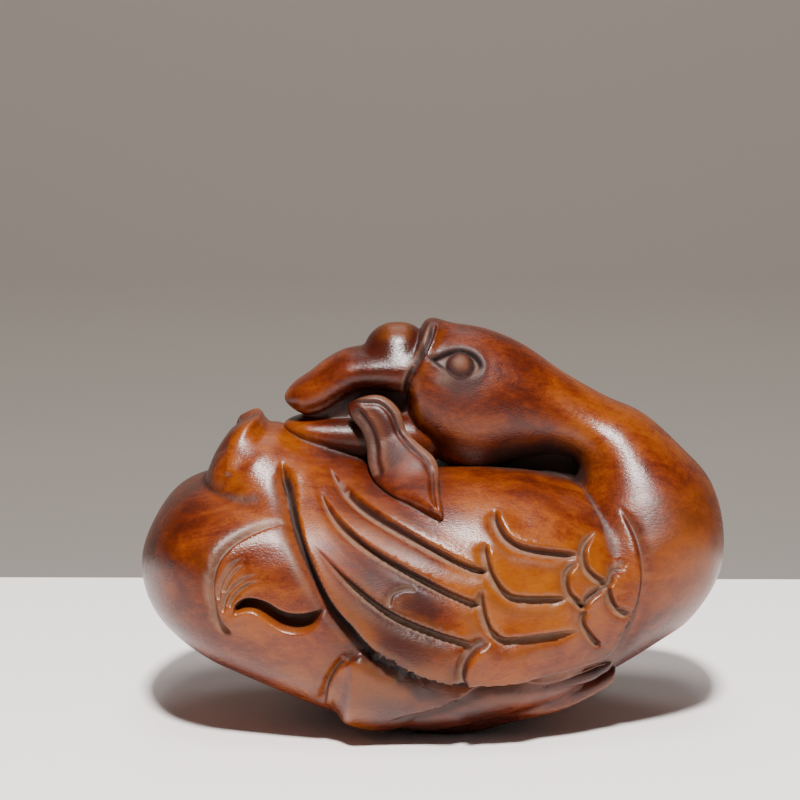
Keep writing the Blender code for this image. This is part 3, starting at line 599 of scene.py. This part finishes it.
def read_edges(mesh):
    """The numbers of the two points of each edge."""
    return read(mesh.edges, "vertices", 2).astype(int)


def drawn_together(points, edges, pull, rounds):
    """The points after each has moved, round by round, by a share of the way to its neighbours' middle."""
    points = points.copy()
    count = np.maximum(np.bincount(edges.ravel(), minlength=len(points)), 1)
    for _ in range(rounds):
        middle = np.empty_like(points)
        for axis, values in enumerate(points.T):
            total = np.bincount(edges[:, 0], values[edges[:, 1]], len(values))
            total += np.bincount(edges[:, 1], values[edges[:, 0]], len(values))
            middle[:, axis] = total / count
        points += pull * (middle - points)
    return points


def relax(mesh, weight, rounds):
    """Draws points toward the middle of their neighbours, as far as their weight says."""
    points = read(mesh.vertices, "co", 3)
    write_points(mesh, drawn_together(points, read_edges(mesh), RELAX_PULL * weight[:, None], rounds))


def one_side(mesh):
    """The points in shares, with the far side's laid over the near side's: x, |y| and z."""
    points = read_points(mesh)
    points[:, 1] = np.abs(points[:, 1])
    return points


def spot_weight(mesh, spots):
    """How near each point is to the spots of x, |y|, z and radius, from 0 outside to 1 in their middle."""
    side = one_side(mesh)
    weight = np.zeros(len(side))
    for x, y, z, radius in spots:
        away = np.linalg.norm(side - (x, y, z), axis=1)
        weight = np.maximum(weight, ease(2.0 * (1.0 - away / radius)))
    return weight


def seam_weight(mesh, rounds):
    """1 along the seams where forms were joined, fading over a few points on both sides."""
    seam = 1.0 - np.clip(read_value(mesh, "whole"), 0.0, 1.0)
    edges = read_edges(mesh)
    for _ in range(rounds):
        seam = np.maximum(seam, SEAM_FADE * spread(seam, edges, np.maximum))
    return seam


def spread(values, edges, pick):
    """What np.maximum or np.minimum picks from each point's value and its neighbours'."""
    picked = values.copy()
    pick.at(picked, edges[:, 0], values[edges[:, 1]])
    pick.at(picked, edges[:, 1], values[edges[:, 0]])
    return picked


def near_line(places, line, reach):
    """Numbers of the places inside the line's own box, grown by a reach."""
    low, high = np.min(line, axis=0) - reach, np.max(line, axis=0) + reach
    return np.flatnonzero(((places > low) & (places < high)).all(axis=1))


def line_trace(places, line, cut, tapers, dust_from, dust_to):
    """Dust, painted shade, and rubbing with a painted highlight along one gouged line.

    The distance from the line is under 0 on its steep side. Dust lies in a band on the easy side, painted
    shade is on the steep side and up to the dust, and the brow of the steep side is lighter,
    from rubbing and a painted highlight.
    """
    steep, easy = cut[1:3]
    away, hand, along = line_measure(places, line)
    fade = ease(along / tapers[0]) * ease((1.0 - along) / tapers[1])
    signed = np.where(hand > 0, -away, away) / (POINTED + (1.0 - POINTED) * fade)
    dust = ease((signed - dust_from + 0.1) / 0.2) * ease((dust_to + 0.15 - signed) / 0.3) * fade
    dark = ease((signed + 0.75 * steep) / 0.2) * ease((max(dust_from, 0.05) + 0.1 - signed) / 0.2)
    rim = ease((signed - 0.5 * easy) / 0.4) * ease((1.25 * easy + 0.3 - signed) / 0.5)
    shade = np.maximum(dark, 0.3 * rim) * fade
    # the brow of the steep side, lighter from rubbing and partly a painted highlight
    rub_and_highlight = ease(1.0 - np.abs(signed + steep + 0.5) / 0.55) * fade
    return dust, shade, rub_and_highlight


def gathered(places, lines):
    """The strongest dust, painted shade, and rubbing with painted highlight of a set of lines."""
    traces = np.zeros((3, len(places)))
    for line, cut, tapers, dusty, shady, dust_from, dust_to in lines:
        near = near_line(places, line, TRACE_REACH)
        found = np.stack(line_trace(places[near], line, cut, tapers, dust_from, dust_to))
        found *= [[dusty], [shady], [1.0]]
        traces[:, near] = np.maximum(traces[:, near], found)
    return traces


def eye_traces(places):
    """Dust and shade of an eye: a pale ring round the ball, dark beside it and under the upper lid."""
    socket, away, rim, upper = eye_measure(places)
    ring = ease((away - EYE_RADIUS - 0.1) / 0.2)
    dust = np.where(socket, RING_DUST * ring * ease((places[:, 0] - 0.2) / 1.6), 0.0)
    tear = np.hypot(*((places - TEAR_CENTRE) / TEAR_REACH).T)
    dust = np.maximum(dust, TEAR_DUST * ease(1.0 - tear) * ~socket)
    lid = ease(1.5 * (1.0 - rim / LID_SHADE)) * upper * socket
    brow = ease(1.0 - rim / BROW_SHADE) * (0.35 + 0.35 * upper) * ~socket
    gap = GAP_SHADE * ease(1.0 - np.abs(away - EYE_RADIUS) / GAP_WIDTH)
    ball = BALL_SHADE * (away < EYE_RADIUS)
    return dust * (1.0 - lid), np.maximum.reduce([lid, brow, gap, ball])


def push_out(mesh, relief, traces):
    """Moves the skin along its normals by a relief, keeping dust, painted shade, rubbing and painted
    highlight.
    """
    for name, values in zip(("dust", "shade", "rub_and_highlight"), traces):
        write_value(mesh, name, values)
    points = read_points(mesh)
    points += read(mesh.vertices, "normal", 3) * relief[:, None]
    write_points(mesh, points * SHARE)


def carve(mesh):
    """Carves both sides of the skin by the drawing, and keeps where dust, painted shade and rubbing lie."""
    points = read_points(mesh)
    places = drawing(points)
    head = places[:, 1] > HEAD_LEVEL
    facing = ease((np.abs(points[:, 1]) - BARE_HALF_WIDTH) / CARVING_RISE)
    relief = np.zeros(len(points))
    relief[head] = head_relief(places[head])
    relief[~head] = body_relief(places[~head])
    traces = np.zeros((3, len(points)))
    traces[:, ~head] = gathered(places[~head], BODY_LINES)
    traces[:, head] = gathered(places[head], HEAD_LINES)
    hollow = in_hollow(places) & ~head
    low_rim = line_measure(places[hollow], HOLLOW_LOW)[0]
    shade = HOLLOW_SHADE * ease(low_rim / HOLLOW_SHADE_RUN)
    traces[1, hollow] = np.maximum(traces[1, hollow], shade)
    traces[:2, head] = np.maximum(traces[:2, head], eye_traces(places[head]))
    push_out(mesh, relief * facing, traces * facing)


def carve_leaf(mesh):
    """The rim and the fold of the leaf, cut like the lines of the body but only on its outer face."""
    places = drawing(read_points(mesh))
    outer = ease(-read(mesh.vertices, "normal", 3)[:, 1] / LEAF_TURN)
    push_out(mesh, lines_relief(places, LEAF_LINES) * outer, gathered(places, LEAF_LINES) * outer)


def refine(mesh, near):
    """Halves the edges whose two ends are near something finely carved."""
    shape = bmesh.new()
    shape.from_mesh(mesh)
    shape.edges.ensure_lookup_table()
    chosen = [shape.edges[index] for index in np.flatnonzero(near[read_edges(mesh)].all(axis=1))]
    bmesh.ops.subdivide_edges(shape, edges=chosen, cuts=1, use_grid_fill=True)
    shape.to_mesh(mesh)
    shape.free()


def refine_carving(mesh):
    """A finer skin near the gouged lines and the eyes, and finer once more right beside them."""
    body_lines = [row[0] for row in BODY_LINES] + [HOLLOW_TOP, HOLLOW_LOW]
    head_lines = [row[0] for row in HEAD_LINES] + [EYE]
    for reach in FINE_REACHES:
        points = read_points(mesh)
        places = drawing(points)
        head = places[:, 1] > HEAD_LEVEL
        away = np.full(len(points), np.inf)
        for line in body_lines + head_lines:
            near = near_line(places, line, reach)
            near = near[head[near] == (line in head_lines)]
            away[near] = np.minimum(away[near], line_measure(places[near], line)[0])
        refine(mesh, (away < reach) & (np.abs(points[:, 1]) > BARE_HALF_WIDTH))


def hollowness(mesh, rounds):
    """How far the skin lies under its own smoothed shape, in shares: over 0 in nooks, under 0 on ridges."""
    points = read_points(mesh)
    smooth = drawn_together(points, read_edges(mesh), SMOOTH_PULL, rounds)
    return ((smooth - points) * read(mesh.vertices, "normal", 3)).sum(axis=1)


def leaf_rails(skin):
    """Rails of the leaf, each edge laid on the carved skin or hanging at its own y in front of it."""
    tree = BVHTree.FromPolygons([v.co for v in skin.vertices], [p.vertices for p in skin.polygons])
    eye = drawing_eye()
    rails = []
    for right0, up0, right1, up1, y in LEAF:
        row = []
        for right, up in ((right0, up0), (right1, up1)):
            aim = Vector(place(right, up, 0.0)) * SHARE
            hit = tree.ray_cast(eye, (aim - eye).normalized())[0]
            depth = y if hit is None else min(y, hit.y / SHARE - LEAF_LIFT)
            row += place(right, up, depth)
        rails.append((*row, LEAF_HALF_THICKNESS))
    return rails


def cut_flat(mesh):
    """Cuts the underside away at z = 0 and closes it with one flat face."""
    shape = bmesh.new()
    shape.from_mesh(mesh)
    everything = shape.verts[:] + shape.edges[:] + shape.faces[:]
    cut = bmesh.ops.bisect_plane(
        shape, geom=everything, plane_co=(0, 0, 0), plane_no=(0, 0, -1), clear_outer=True
    )
    rim = [edge for edge in cut["geom_cut"] if isinstance(edge, bmesh.types.BMEdge)]
    bmesh.ops.contextual_create(shape, geom=rim)
    shape.to_mesh(mesh)
    shape.free()


def keep_outer_skin(mesh):
    """Only the largest connected skin stays: each point takes the lowest number that it is joined to."""
    edges = read_edges(mesh)
    label = np.arange(len(mesh.vertices))
    while True:
        lowest = spread(label, edges, np.minimum)
        lowest = lowest[lowest]
        if np.array_equal(lowest, label):
            break
        label = lowest
    names, sizes = np.unique(label, return_counts=True)
    stray = np.flatnonzero(label != names[sizes.argmax()])
    if len(stray):
        shape = bmesh.new()
        shape.from_mesh(mesh)
        shape.verts.ensure_lookup_table()
        bmesh.ops.delete(shape, geom=[shape.verts[i] for i in stray], context="VERTS")
        shape.to_mesh(mesh)
        shape.free()


# Where forms run into each other softly: x, distance from the middle plane, z and reach.
SOFT_SPOTS = [
    (-8, 8, 24, 7), (-14, 10, 24, 6), (-4, 4, 26, 6), (-22, 10, 21, 5),
    (22, 11, 14, 8), (20, 12, 8, 6), (21, 9, 20, 5), (18, 4, 4, 6),
    (22, 5, 6, 6),
]
KNOB_SPOTS = [
    (-7, 1.5, 38.3, 2), (-6.6, 3.2, 37.4, 2.4), (-4.6, 4.2, 37.6, 2.8), (-2.6, 4.2, 37.6, 2.6),
]

# Places where a gouged line crosses a seam, smoothed once more after the carving.
CROSSING_SPOTS = [
    (-14.5, 9.5, 25.5, 2.4), (-14, 11, 22.5, 2.4), (-7.1, 16.5, 10.7, 2.2), (-5, 16.5, 9.2, 2.2),
    (-2.8, 16.2, 8, 2.2), (-0.6, 15.8, 7.2, 2.4), (1.6, 15.6, 6.6, 2.2),
]

# Each form: its sections, rings, points round a ring, the shares of its length that its two rounded ends
# take, and its fullness: 2 for an ellipse, more for a squarer section.
BODY_FORM = (BODY, 132, 160, 0.18, 0.06, 2.6)
FORMS = {
    "neck": (NECK, 128, 80, 0.06, 0.05, 2.1),
    "tail": (TAIL, 84, 70, 0.14, 0.09, 2.2),
    "web": (WEB, 20, 20, 0.1, 0.1, 2.0),
    "upper_bill": (UPPER_BILL, 80, 56, 0.05, 0.16, 2.2),
    "lower_bill": (LOWER_BILL, 60, 44, 0.05, 0.16, 2.2),
    "mouth_floor": (MOUTH_FLOOR, 20, 20, 0.1, 0.2, 2.0),
    "knob": (KNOB, 44, 40, 0.46, 0.46, 2.0),
}
FORM_PAIRS = {
    "foot": (FOOT, 70, 44, 0.14, 0.1, 2.0),
    "leg": (LEG, 60, 34, 0.1, 0.06, 2.0),
}
LEAF_SIZES = (90, 64, 0.08, 0.08, 2.4)

# How many rounds of smoothing each place takes, and the share of the way that a point moves in a round.
SOFT_ROUNDS, KNOB_ROUNDS, CROSSING_ROUNDS, SEAM_ROUNDS, HOLLOW_ROUNDS = 40, 16, 9, 3, 24
RELAX_PULL, SMOOTH_PULL = 0.6, 0.7
SEAM_POINTS, SEAM_DARK_POINTS = 3, 4  # how far a seam reaches, for its smoothing and for its line of painted shade
SEAM_FADE = 0.8  # what is left of a seam's weight at the next point


def form(name):
    """One form on the middle plane as a mesh."""
    rows, *sizes = FORMS[name]
    return grid_mesh(name, loft(flat_rails(rows), *sizes))


def form_pair(name):
    """One form as a mesh on each side."""
    rows, *sizes = FORM_PAIRS[name]
    return [grid_mesh(name, loft(drawn_rails(rows, side), *sizes)) for side in (1, -1)]


def keep_shade_and_wear(mesh):
    """Keeps painted shade in nooks and seams, wear and painted highlight on ridges, by the skin's depth."""
    sunk = hollowness(mesh, HOLLOW_ROUNDS)
    seam = seam_weight(mesh, SEAM_DARK_POINTS) * ease((sunk - 0.03) / 0.12)
    # painted shade in nooks and along the seams of joined forms
    write_value(mesh, "nook_shade", np.maximum(seam, ease((sunk - 0.10) / 0.30)))
    # wear on ridges, lightened partly as a painted highlight
    write_value(mesh, "worn_and_highlight", ease((-sunk - 0.2) / 0.3))


def carved_goose():
    """The whole carving as one skin."""
    rows, *sizes = BODY_FORM
    goose = grid_mesh("goose_skin", with_valley(loft(flat_rails(rows), *sizes)))
    join(goose, [form("neck"), form("tail"), form("web")])
    relax(goose.data, spot_weight(goose.data, SOFT_SPOTS), SOFT_ROUNDS)
    head = [form(name) for name in ("upper_bill", "lower_bill", "mouth_floor", "knob")]
    (foot, far_foot), (leg, far_leg) = form_pair("foot"), form_pair("leg")
    join(goose, head + [foot, leg, far_foot, far_leg])
    relax(goose.data, spot_weight(goose.data, KNOB_SPOTS), KNOB_ROUNDS)
    refine_carving(goose.data)
    carve(goose.data)
    relax(goose.data, spot_weight(goose.data, CROSSING_SPOTS), CROSSING_ROUNDS)
    leaf = grid_mesh("leaf", loft(leaf_rails(goose.data), *LEAF_SIZES))
    carve_leaf(leaf.data)
    join(goose, [leaf])
    keep_outer_skin(goose.data)
    relax(goose.data, seam_weight(goose.data, SEAM_POINTS), SEAM_ROUNDS)
    keep_shade_and_wear(goose.data)
    cut_flat(goose.data)
    goose.data.shade_smooth()
    return goose


class Nodes:
    """Adds and links the nodes of one material."""

    def __init__(self, name):
        self.material = bpy.data.materials.new(name)
        self.material.use_nodes = True
        self.tree = self.material.node_tree
        self.shader = self.tree.nodes["Principled BSDF"]

    def put(self, socket, value):
        """Sets an input to a number or colour, or links it to another node's output."""
        if isinstance(value, bpy.types.NodeSocket):
            self.tree.links.new(value, socket)
        else:
            socket.default_value = value

    def add(self, kind, inputs=(), **settings):
        """A node with its settings and its inputs, by place or by name."""
        node = self.tree.nodes.new(kind)
        for key, value in settings.items():
            setattr(node, key, value)
        for key, value in dict(inputs).items():
            self.put(node.inputs[key], value)
        return node

    def math(self, operation, a, b, clamp=False):
        """One arithmetic step."""
        return self.add("ShaderNodeMath", {0: a, 1: b}, operation=operation, use_clamp=clamp).outputs[0]

    def value(self, name):
        """A number kept for each point of the mesh."""
        return self.add("ShaderNodeAttribute", attribute_name=name).outputs["Fac"]

    def noise(self, place, scale, detail, roughness, distortion=0.0):
        """Cloudy noise, features about 1 / scale long."""
        inputs = {"Vector": place, "Scale": scale, "Detail": detail, "Roughness": roughness}
        inputs["Distortion"] = distortion
        return self.add("ShaderNodeTexNoise", inputs).outputs["Fac"]

    def slope(self, amount, low, high):
        """A number that goes straight from a low stop to a high one, each a place and a value."""
        inputs = {"Value": amount, "From Min": low[0], "To Min": low[1], "From Max": high[0]}
        inputs["To Max"] = high[1]
        return self.add("ShaderNodeMapRange", inputs, clamp=True).outputs["Result"]

    def sum(self, *parts):
        """The sum of values, each times its share."""
        total = 0.0
        for value, share in parts:
            total = self.math("ADD", total, self.math("MULTIPLY", value, share))
        return total

    def ramp(self, amount, *stops):
        """A colour from a ramp of stops of place and colour."""
        node = self.add("ShaderNodeValToRGB", {"Fac": amount})
        elements = node.color_ramp.elements
        for index, (where, colour) in enumerate(stops):
            element = elements[index] if index < 2 else elements.new(where)
            element.position = where
            element.color = (*colour, 1.0)
        return node.outputs["Color"]

    def mix(self, amount, a, b):
        """One colour laid over another."""
        node = self.add("ShaderNodeMix", data_type="RGBA", clamp_factor=True)
        self.put(node.inputs["Factor"], amount)
        self.put(node.inputs["A"], a if isinstance(a, bpy.types.NodeSocket) else (*a, 1.0))
        self.put(node.inputs["B"], b if isinstance(b, bpy.types.NodeSocket) else (*b, 1.0))
        return node.outputs["Result"]

    def stretched(self, scale, turn=(0.0, 0.0, 0.0)):
        """Object coordinates in shares, turned and stretched."""
        place = self.add("ShaderNodeTexCoord").outputs["Object"]
        mapping = self.add("ShaderNodeMapping", {"Vector": place})
        mapping.inputs["Rotation"].default_value = turn
        mapping.inputs["Scale"].default_value = [part / SHARE for part in scale]
        return mapping.outputs["Vector"]


DEEP_BROWN = (0.034, 0.0048, 0.0018)
RED_BROWN = (0.068, 0.0085, 0.0014)
CHESTNUT = (0.112, 0.0170, 0.0014)
AMBER = (0.170, 0.0350, 0.0015)
HONEY = (0.215, 0.0560, 0.0020)
DUST = (0.175, 0.103, 0.066)
SHADE = (0.008, 0.0026, 0.0017)
WOOD_STOPS = ((0.37, DEEP_BROWN), (0.47, RED_BROWN), (0.55, CHESTNUT), (0.64, AMBER), (0.78, HONEY))
TONE_SHIFT = -0.035  # darkens the wood as a whole
# What the cloudy tones of the wood, from the broadest to the finest, and its darkening from handling and
# painted shade add to its colour.
CLOUD_SHARE, MOTTLE_SHARE, FLECK_SHARE, SPECK_SHARE, PATINA_AND_SHADE_SHARE = 0.42, 0.40, 0.28, 0.12, -0.20
# How far painted shade, dust, and the wear and painted highlight on ridges and cut brows hide it.
SHADE_COVER, DUST_COVER, WORN_AND_HIGHLIGHT_COVER, RUB_AND_HIGHLIGHT_COVER = 0.92, 0.88, 0.45, 0.25
# The roughness of the bare wood, and what mottle, dust and shade add to it.
POLISH, MOTTLE_ROUGH, DUST_ROUGH, SHADE_ROUGH = 0.20, 0.14, 0.4, 0.45
WAX_IOR = 1.46
# The fine unevenness: heights of its pores and waves, its strength and its depth in metres.
PORE_HEIGHT, WAVE_HEIGHT, SURFACE_STRENGTH, SURFACE_DEPTH = 0.26, 0.20, 0.35, 0.0004


def boxwood():
    """Old polished boxwood: mottled chestnut and amber, darker where it is handled, dusty in its cuts.

    Painted shade lies in its cuts, nooks and low parts, and a painted highlight on its ridges and brows.
    """
    n = Nodes("polished_boxwood")
    plain = n.stretched((1.0, 1.0, 1.0))
    along = n.stretched((0.55, 1.1, 1.1), (0.0, 0.5, 0.3))
    cloud = n.noise(plain, 0.11, 2.0, 0.5, 0.4)
    mottle = n.noise(along, 0.42, 4.0, 0.60, 0.6)
    fleck = n.noise(along, 2.1, 5.0, 0.75, 0.4)
    speck = n.noise(n.stretched((0.6, 1.0, 1.0), (0.0, -0.9, 0.2)), 7.0, 2.0, 0.6)
    tone = n.sum(
        (cloud, CLOUD_SHARE), (mottle, MOTTLE_SHARE), (fleck, FLECK_SHARE), (speck, SPECK_SHARE),
        # darkening from handling, with painted shade on the low parts and the tail's left face
        (n.value("patina_and_shade"), PATINA_AND_SHADE_SHARE),
    )
    wood = n.ramp(n.math("ADD", tone, TONE_SHIFT), *WOOD_STOPS)
    breakup = n.noise(plain, 1.6, 5.0, 0.7)
    dust = n.math("MULTIPLY", n.value("dust"), n.slope(breakup, (0.34, 0.45), (0.60, 1.0)))
    # painted shade in nooks and seams, less where dust lies, joined to the painted shade of the lines
    nook_shade = n.value("nook_shade")
    hidden = n.math("MULTIPLY", nook_shade, n.math("SUBTRACT", 0.7, n.math("MULTIPLY", dust, 0.6)))
    shade = n.math("MAXIMUM", n.value("shade"), hidden)
    # brows of the cuts lightened by rubbing and a painted highlight
    rub_and_highlight_amount = n.math("MULTIPLY", n.value("rub_and_highlight"), RUB_AND_HIGHLIGHT_COVER)
    # ridges lightened by wear and a painted highlight
    bright = n.math("MAXIMUM", rub_and_highlight_amount, n.math("MULTIPLY", n.value("worn_and_highlight"), WORN_AND_HIGHLIGHT_COVER))
    wood = n.mix(bright, wood, HONEY)
    wood = n.mix(n.math("MULTIPLY", shade, SHADE_COVER), wood, SHADE)
    wood = n.mix(n.math("MULTIPLY", dust, DUST_COVER), wood, DUST)
    n.put(n.shader.inputs["Base Color"], wood)
    rough = n.sum((mottle, MOTTLE_ROUGH), (dust, DUST_ROUGH), (n.value("dull"), 1.0), (shade, SHADE_ROUGH))
    n.put(n.shader.inputs["Roughness"], n.math("ADD", rough, POLISH, clamp=True))
    n.put(n.shader.inputs["IOR"], WAX_IOR)
    pores = n.noise(n.stretched((0.8, 1.7, 1.7), (0.0, 0.5, 0.3)), 3.4, 3.0, 0.65)
    waves = n.noise(plain, 0.75, 2.0, 0.5)
    height = n.sum((pores, PORE_HEIGHT), (waves, WAVE_HEIGHT))
    inputs = {"Height": height, "Strength": SURFACE_STRENGTH, "Distance": SURFACE_DEPTH}
    n.put(n.shader.inputs["Normal"], n.add("ShaderNodeBump", inputs).outputs["Normal"])
    return n.material


# Nooks that no light reaches, as spots of x, |y|, z and reach: the mouth and the gap under the neck.
GLOOM_SPOTS = [
    (-2, 0, 33.6, 3), (-5, 0, 33.4, 3), (-8, 0, 32.8, 2.8), (-11, 0, 31.8, 2.4),
    (8, 2, 27.4, 4.6), (12, 2, 26.6, 5), (16, 2, 24.4, 5),
]


def gloom(mesh):
    """Darkens the nooks on top of the shade of the carved lines."""
    dark = np.maximum(read_value(mesh, "shade"), 0.9 * spot_weight(mesh, GLOOM_SPOTS))
    write_value(mesh, "shade", dark)


# Wood that handling has darkened, or kept bright, and painted shade on the low parts and the tail's left
# face, as spots of x, |y|, z, reach and amount.
PATINA_AND_SHADE_SPOTS = [
    (-4, 0, 41, 5, 1.1), (3.1, 6, 36.3, 1.8, 2), (-23, 0, 27, 4, 0.5),
    (-1, 0, 42.5, 5, 0.2), (6, 3, 36, 6, 0.3), (9, 5, 30, 5, 0.7),
    (16, 4, 31, 6, -0.5), (-7, 3, 37, 6, 0.5), (-14, 2, 33.5, 2.5, 0.2),
    (-4, 3, 40.5, 4, 0.5), (-6, 5, 30, 5, 0.9), (-2, 10, 21, 4, 0.6),
    (-26, 6, 22, 8, 0.6), (-30, 0, 14, 8, 0.5), (-12, 16, 14, 6, 0.2),
    (-3, 17, 11, 5, 1.2), (-1, 17, 15, 3.4, 1.4), (-8, 17, 16, 4, 0.5),
    (6, 16, 18, 6, -0.9), (12, 14, 12, 8, -0.5), (-18, 12, 14, 5, -0.4),
    (-9.5, 15, 7.5, 2.6, -0.9), (-19, 12, 6, 7, 0.5), (20, 11, 6, 8, 0.9),
    (24, 10, 24, 7, 0.3), (-2.6, 6.6, 27, 3.4, 0.5), (-8, 3, 29.5, 4, 0.6),
    (24, 8, 16, 6, -0.4), (28, 4, 8, 7, 0.4), (4, 8, 1, 9, 1.3),
]


def write_spots(mesh, name, spots):
    """Keeps a sum of soft spots under a name: each adds its amount times e^-(distance / reach)^2."""
    side = one_side(mesh)
    total = np.zeros(len(side))
    for x, y, z, reach, amount in spots:
        away = np.linalg.norm(side - (x, y, z), axis=1)
        total += amount * np.exp(-((away / reach) ** 2))
    write_value(mesh, name, total)


# Wood that is less polished than the rest, as spots of x, |y|, z, reach and added roughness.
DULL_SPOTS = [
    (23, 9, 20.5, 4.5, 0.25), (-7.5, 16, 18.5, 5, 0.45), (-2, 7, 26.5, 3.4, 0.40),
    (3, 6.4, 36, 2.6, 0.40), (-6.4, 8, 30.8, 2.6, 0.30),
]


def flat_sheet(name, corners, roughness, colour, far_colour=None, axis=None, span=None):
    """A plain rectangle between four corners, matt, in one colour or from a far one to it along an axis."""
    mesh = bpy.data.meshes.new(name)
    mesh.from_pydata(corners, [], [(0, 1, 2, 3)])
    n = Nodes(name)
    paint = (*colour, 1.0)
    if far_colour:
        place = n.add("ShaderNodeTexCoord").outputs["Object"]
        along = n.add("ShaderNodeSeparateXYZ", {0: place}).outputs[axis]
        paint = n.mix(n.slope(along, (span[0], 0.0), (span[1], 1.0)), far_colour, colour)
    n.put(n.shader.inputs["Base Color"], paint)
    n.put(n.shader.inputs["Roughness"], roughness)
    mesh.materials.append(n.material)
    sheet = bpy.data.objects.new(name, mesh)
    bpy.context.scene.collection.objects.link(sheet)


# The stage in metres: y of the paper's near and far edges, half its width and how far it drops behind; and
# the wall's y, and how far it goes below and above the paper.
PAPER_NEAR, PAPER_EDGE, PAPER_SIDE, SHEET_DROP = -1.5, 0.060, 1.5, 0.06
WALL_Y, WALL_DROP, WALL_TOP = 0.75, 0.5, 1.8
PAPER_ROUGHNESS, WALL_ROUGHNESS = 0.6, 0.9
WALL_SPAN = (-0.17, -0.05)  # heights between which the wall goes from painted light, pale low down, to its full grey
PAPER_SPAN = (-0.14, -0.045)  # and y between which the paper goes from painted shade, dim far in front, to white
PAPER_WHITE = (0.94, 0.90, 0.885)
# painted shade on the paper far in front of the goose
PAPER_PAINTED_SHADE = (0.18, 0.172, 0.167)
WALL_GREY = (0.42, 0.372, 0.320)
# painted light on the wall's low part, near the paper
WALL_PAINTED_LIGHT = (0.74, 0.68, 0.62)


def add_stage():
    """White paper that ends close behind the goose, dimmed far in front by painted shade, and a grey wall
    beyond its edge, painted paler low down as painted light.
    """
    near, edge, side = PAPER_NEAR, PAPER_EDGE, PAPER_SIDE
    paper = [(-side, near, 0), (side, near, 0), (side, edge, 0), (-side, edge, 0)]
    fall = [(-side, edge, 0), (side, edge, 0), (side, edge, -SHEET_DROP), (-side, edge, -SHEET_DROP)]
    low, top, wide = -WALL_DROP, WALL_TOP, 2 * PAPER_SIDE
    wall = [(-wide, WALL_Y, low), (wide, WALL_Y, low), (wide, WALL_Y, top), (-wide, WALL_Y, top)]
    flat_sheet("white_paper", paper, PAPER_ROUGHNESS, PAPER_WHITE, PAPER_PAINTED_SHADE, "Y", PAPER_SPAN)
    flat_sheet("paper_edge", fall, PAPER_ROUGHNESS, PAPER_WHITE)
    flat_sheet("grey_wall", wall, WALL_ROUGHNESS, WALL_GREY, WALL_PAINTED_LIGHT, "Z", WALL_SPAN)


# Soft square lamps that face one point: name, place and width in metres, watts and colour.
LAMPS = [
    ("high_lamp", (0.0, -0.335, 0.54), 0.062, 10.3, (1.0, 0.965, 0.94)),
    ("soft_box", (0.0, -0.10, 0.60), 0.22, 1.4, (1.0, 0.95, 0.94)),
    ("back_box", (0.0, 0.35, 0.55), 0.26, 0.5, (1.0, 0.95, 0.94)),
]
LAMP_AIM = (0.0, 0.0, 0.02)
ROOM_GREY = (0.60, 0.60, 0.62, 1.0)
ROOM_STRENGTH = 0.11


def aimed(direction):
    """The rotation that turns a lamp or camera along a direction."""
    return Vector(direction).to_track_quat("-Z", "Y")


def placed(name, data, location, turn):
    """A lamp or camera in the scene, at a place in metres."""
    item = bpy.data.objects.new(name, data)
    item.location = location
    item.rotation_mode = "QUATERNION"
    item.rotation_quaternion = turn
    bpy.context.scene.collection.objects.link(item)
    return item


def add_light():
    """A small high lamp before the goose, broader ones over and behind it and a dim grey room."""
    for name, location, width, power, colour in LAMPS:
        data = bpy.data.lights.new(name, "AREA")
        data.energy = power
        data.color = colour
        data.size = width
        placed(name, data, location, aimed(Vector(LAMP_AIM) - Vector(location)))
    world = bpy.data.worlds.new("grey_room")
    world.use_nodes = True
    background = world.node_tree.nodes["Background"]
    background.inputs["Color"].default_value = ROOM_GREY
    background.inputs["Strength"].default_value = ROOM_STRENGTH
    bpy.context.scene.world = world


# The photograph's frame: its side and the place of the drawing's centre in pixels, and its scale there.
IMAGE_SIZE = 800
CENTRE_PIXEL = (432.0, 518.0)
PIXELS_PER_SHARE = 9.633
SENSOR_WIDTH = 36.0
NEAREST_SEEN = 0.01  # metres


def add_camera():
    """The photograph's view, from the drawing's eye, with the goose low in the frame."""
    centre = Vector((0.0, 0.0, CENTRE_HEIGHT)) * SHARE
    eye = drawing_eye()
    focal = PIXELS_PER_SHARE * VIEW_DISTANCE
    across = (CENTRE_PIXEL[0] - IMAGE_SIZE / 2) / focal
    down = (CENTRE_PIXEL[1] - IMAGE_SIZE / 2) / focal
    data = bpy.data.cameras.new("camera")
    data.sensor_width = SENSOR_WIDTH
    data.lens = SENSOR_WIDTH * focal / IMAGE_SIZE
    data.clip_start = NEAREST_SEEN
    turn = aimed(centre - eye)
    turn = Quaternion((0, 0, 1), math.atan(across)) @ turn @ Quaternion((1, 0, 0), math.atan(down))
    bpy.context.scene.camera = placed("camera", data, eye, turn)


goose = carved_goose()
gloom(goose.data)
# darkening from handling, and painted shade on the low parts and the tail's left face
write_spots(goose.data, "patina_and_shade", PATINA_AND_SHADE_SPOTS)
write_spots(goose.data, "dull", DULL_SPOTS)
goose.data.materials.clear()
goose.data.materials.append(boxwood())
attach(goose, "root")
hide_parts("carved_goose")
add_stage()
add_camera()
add_light()
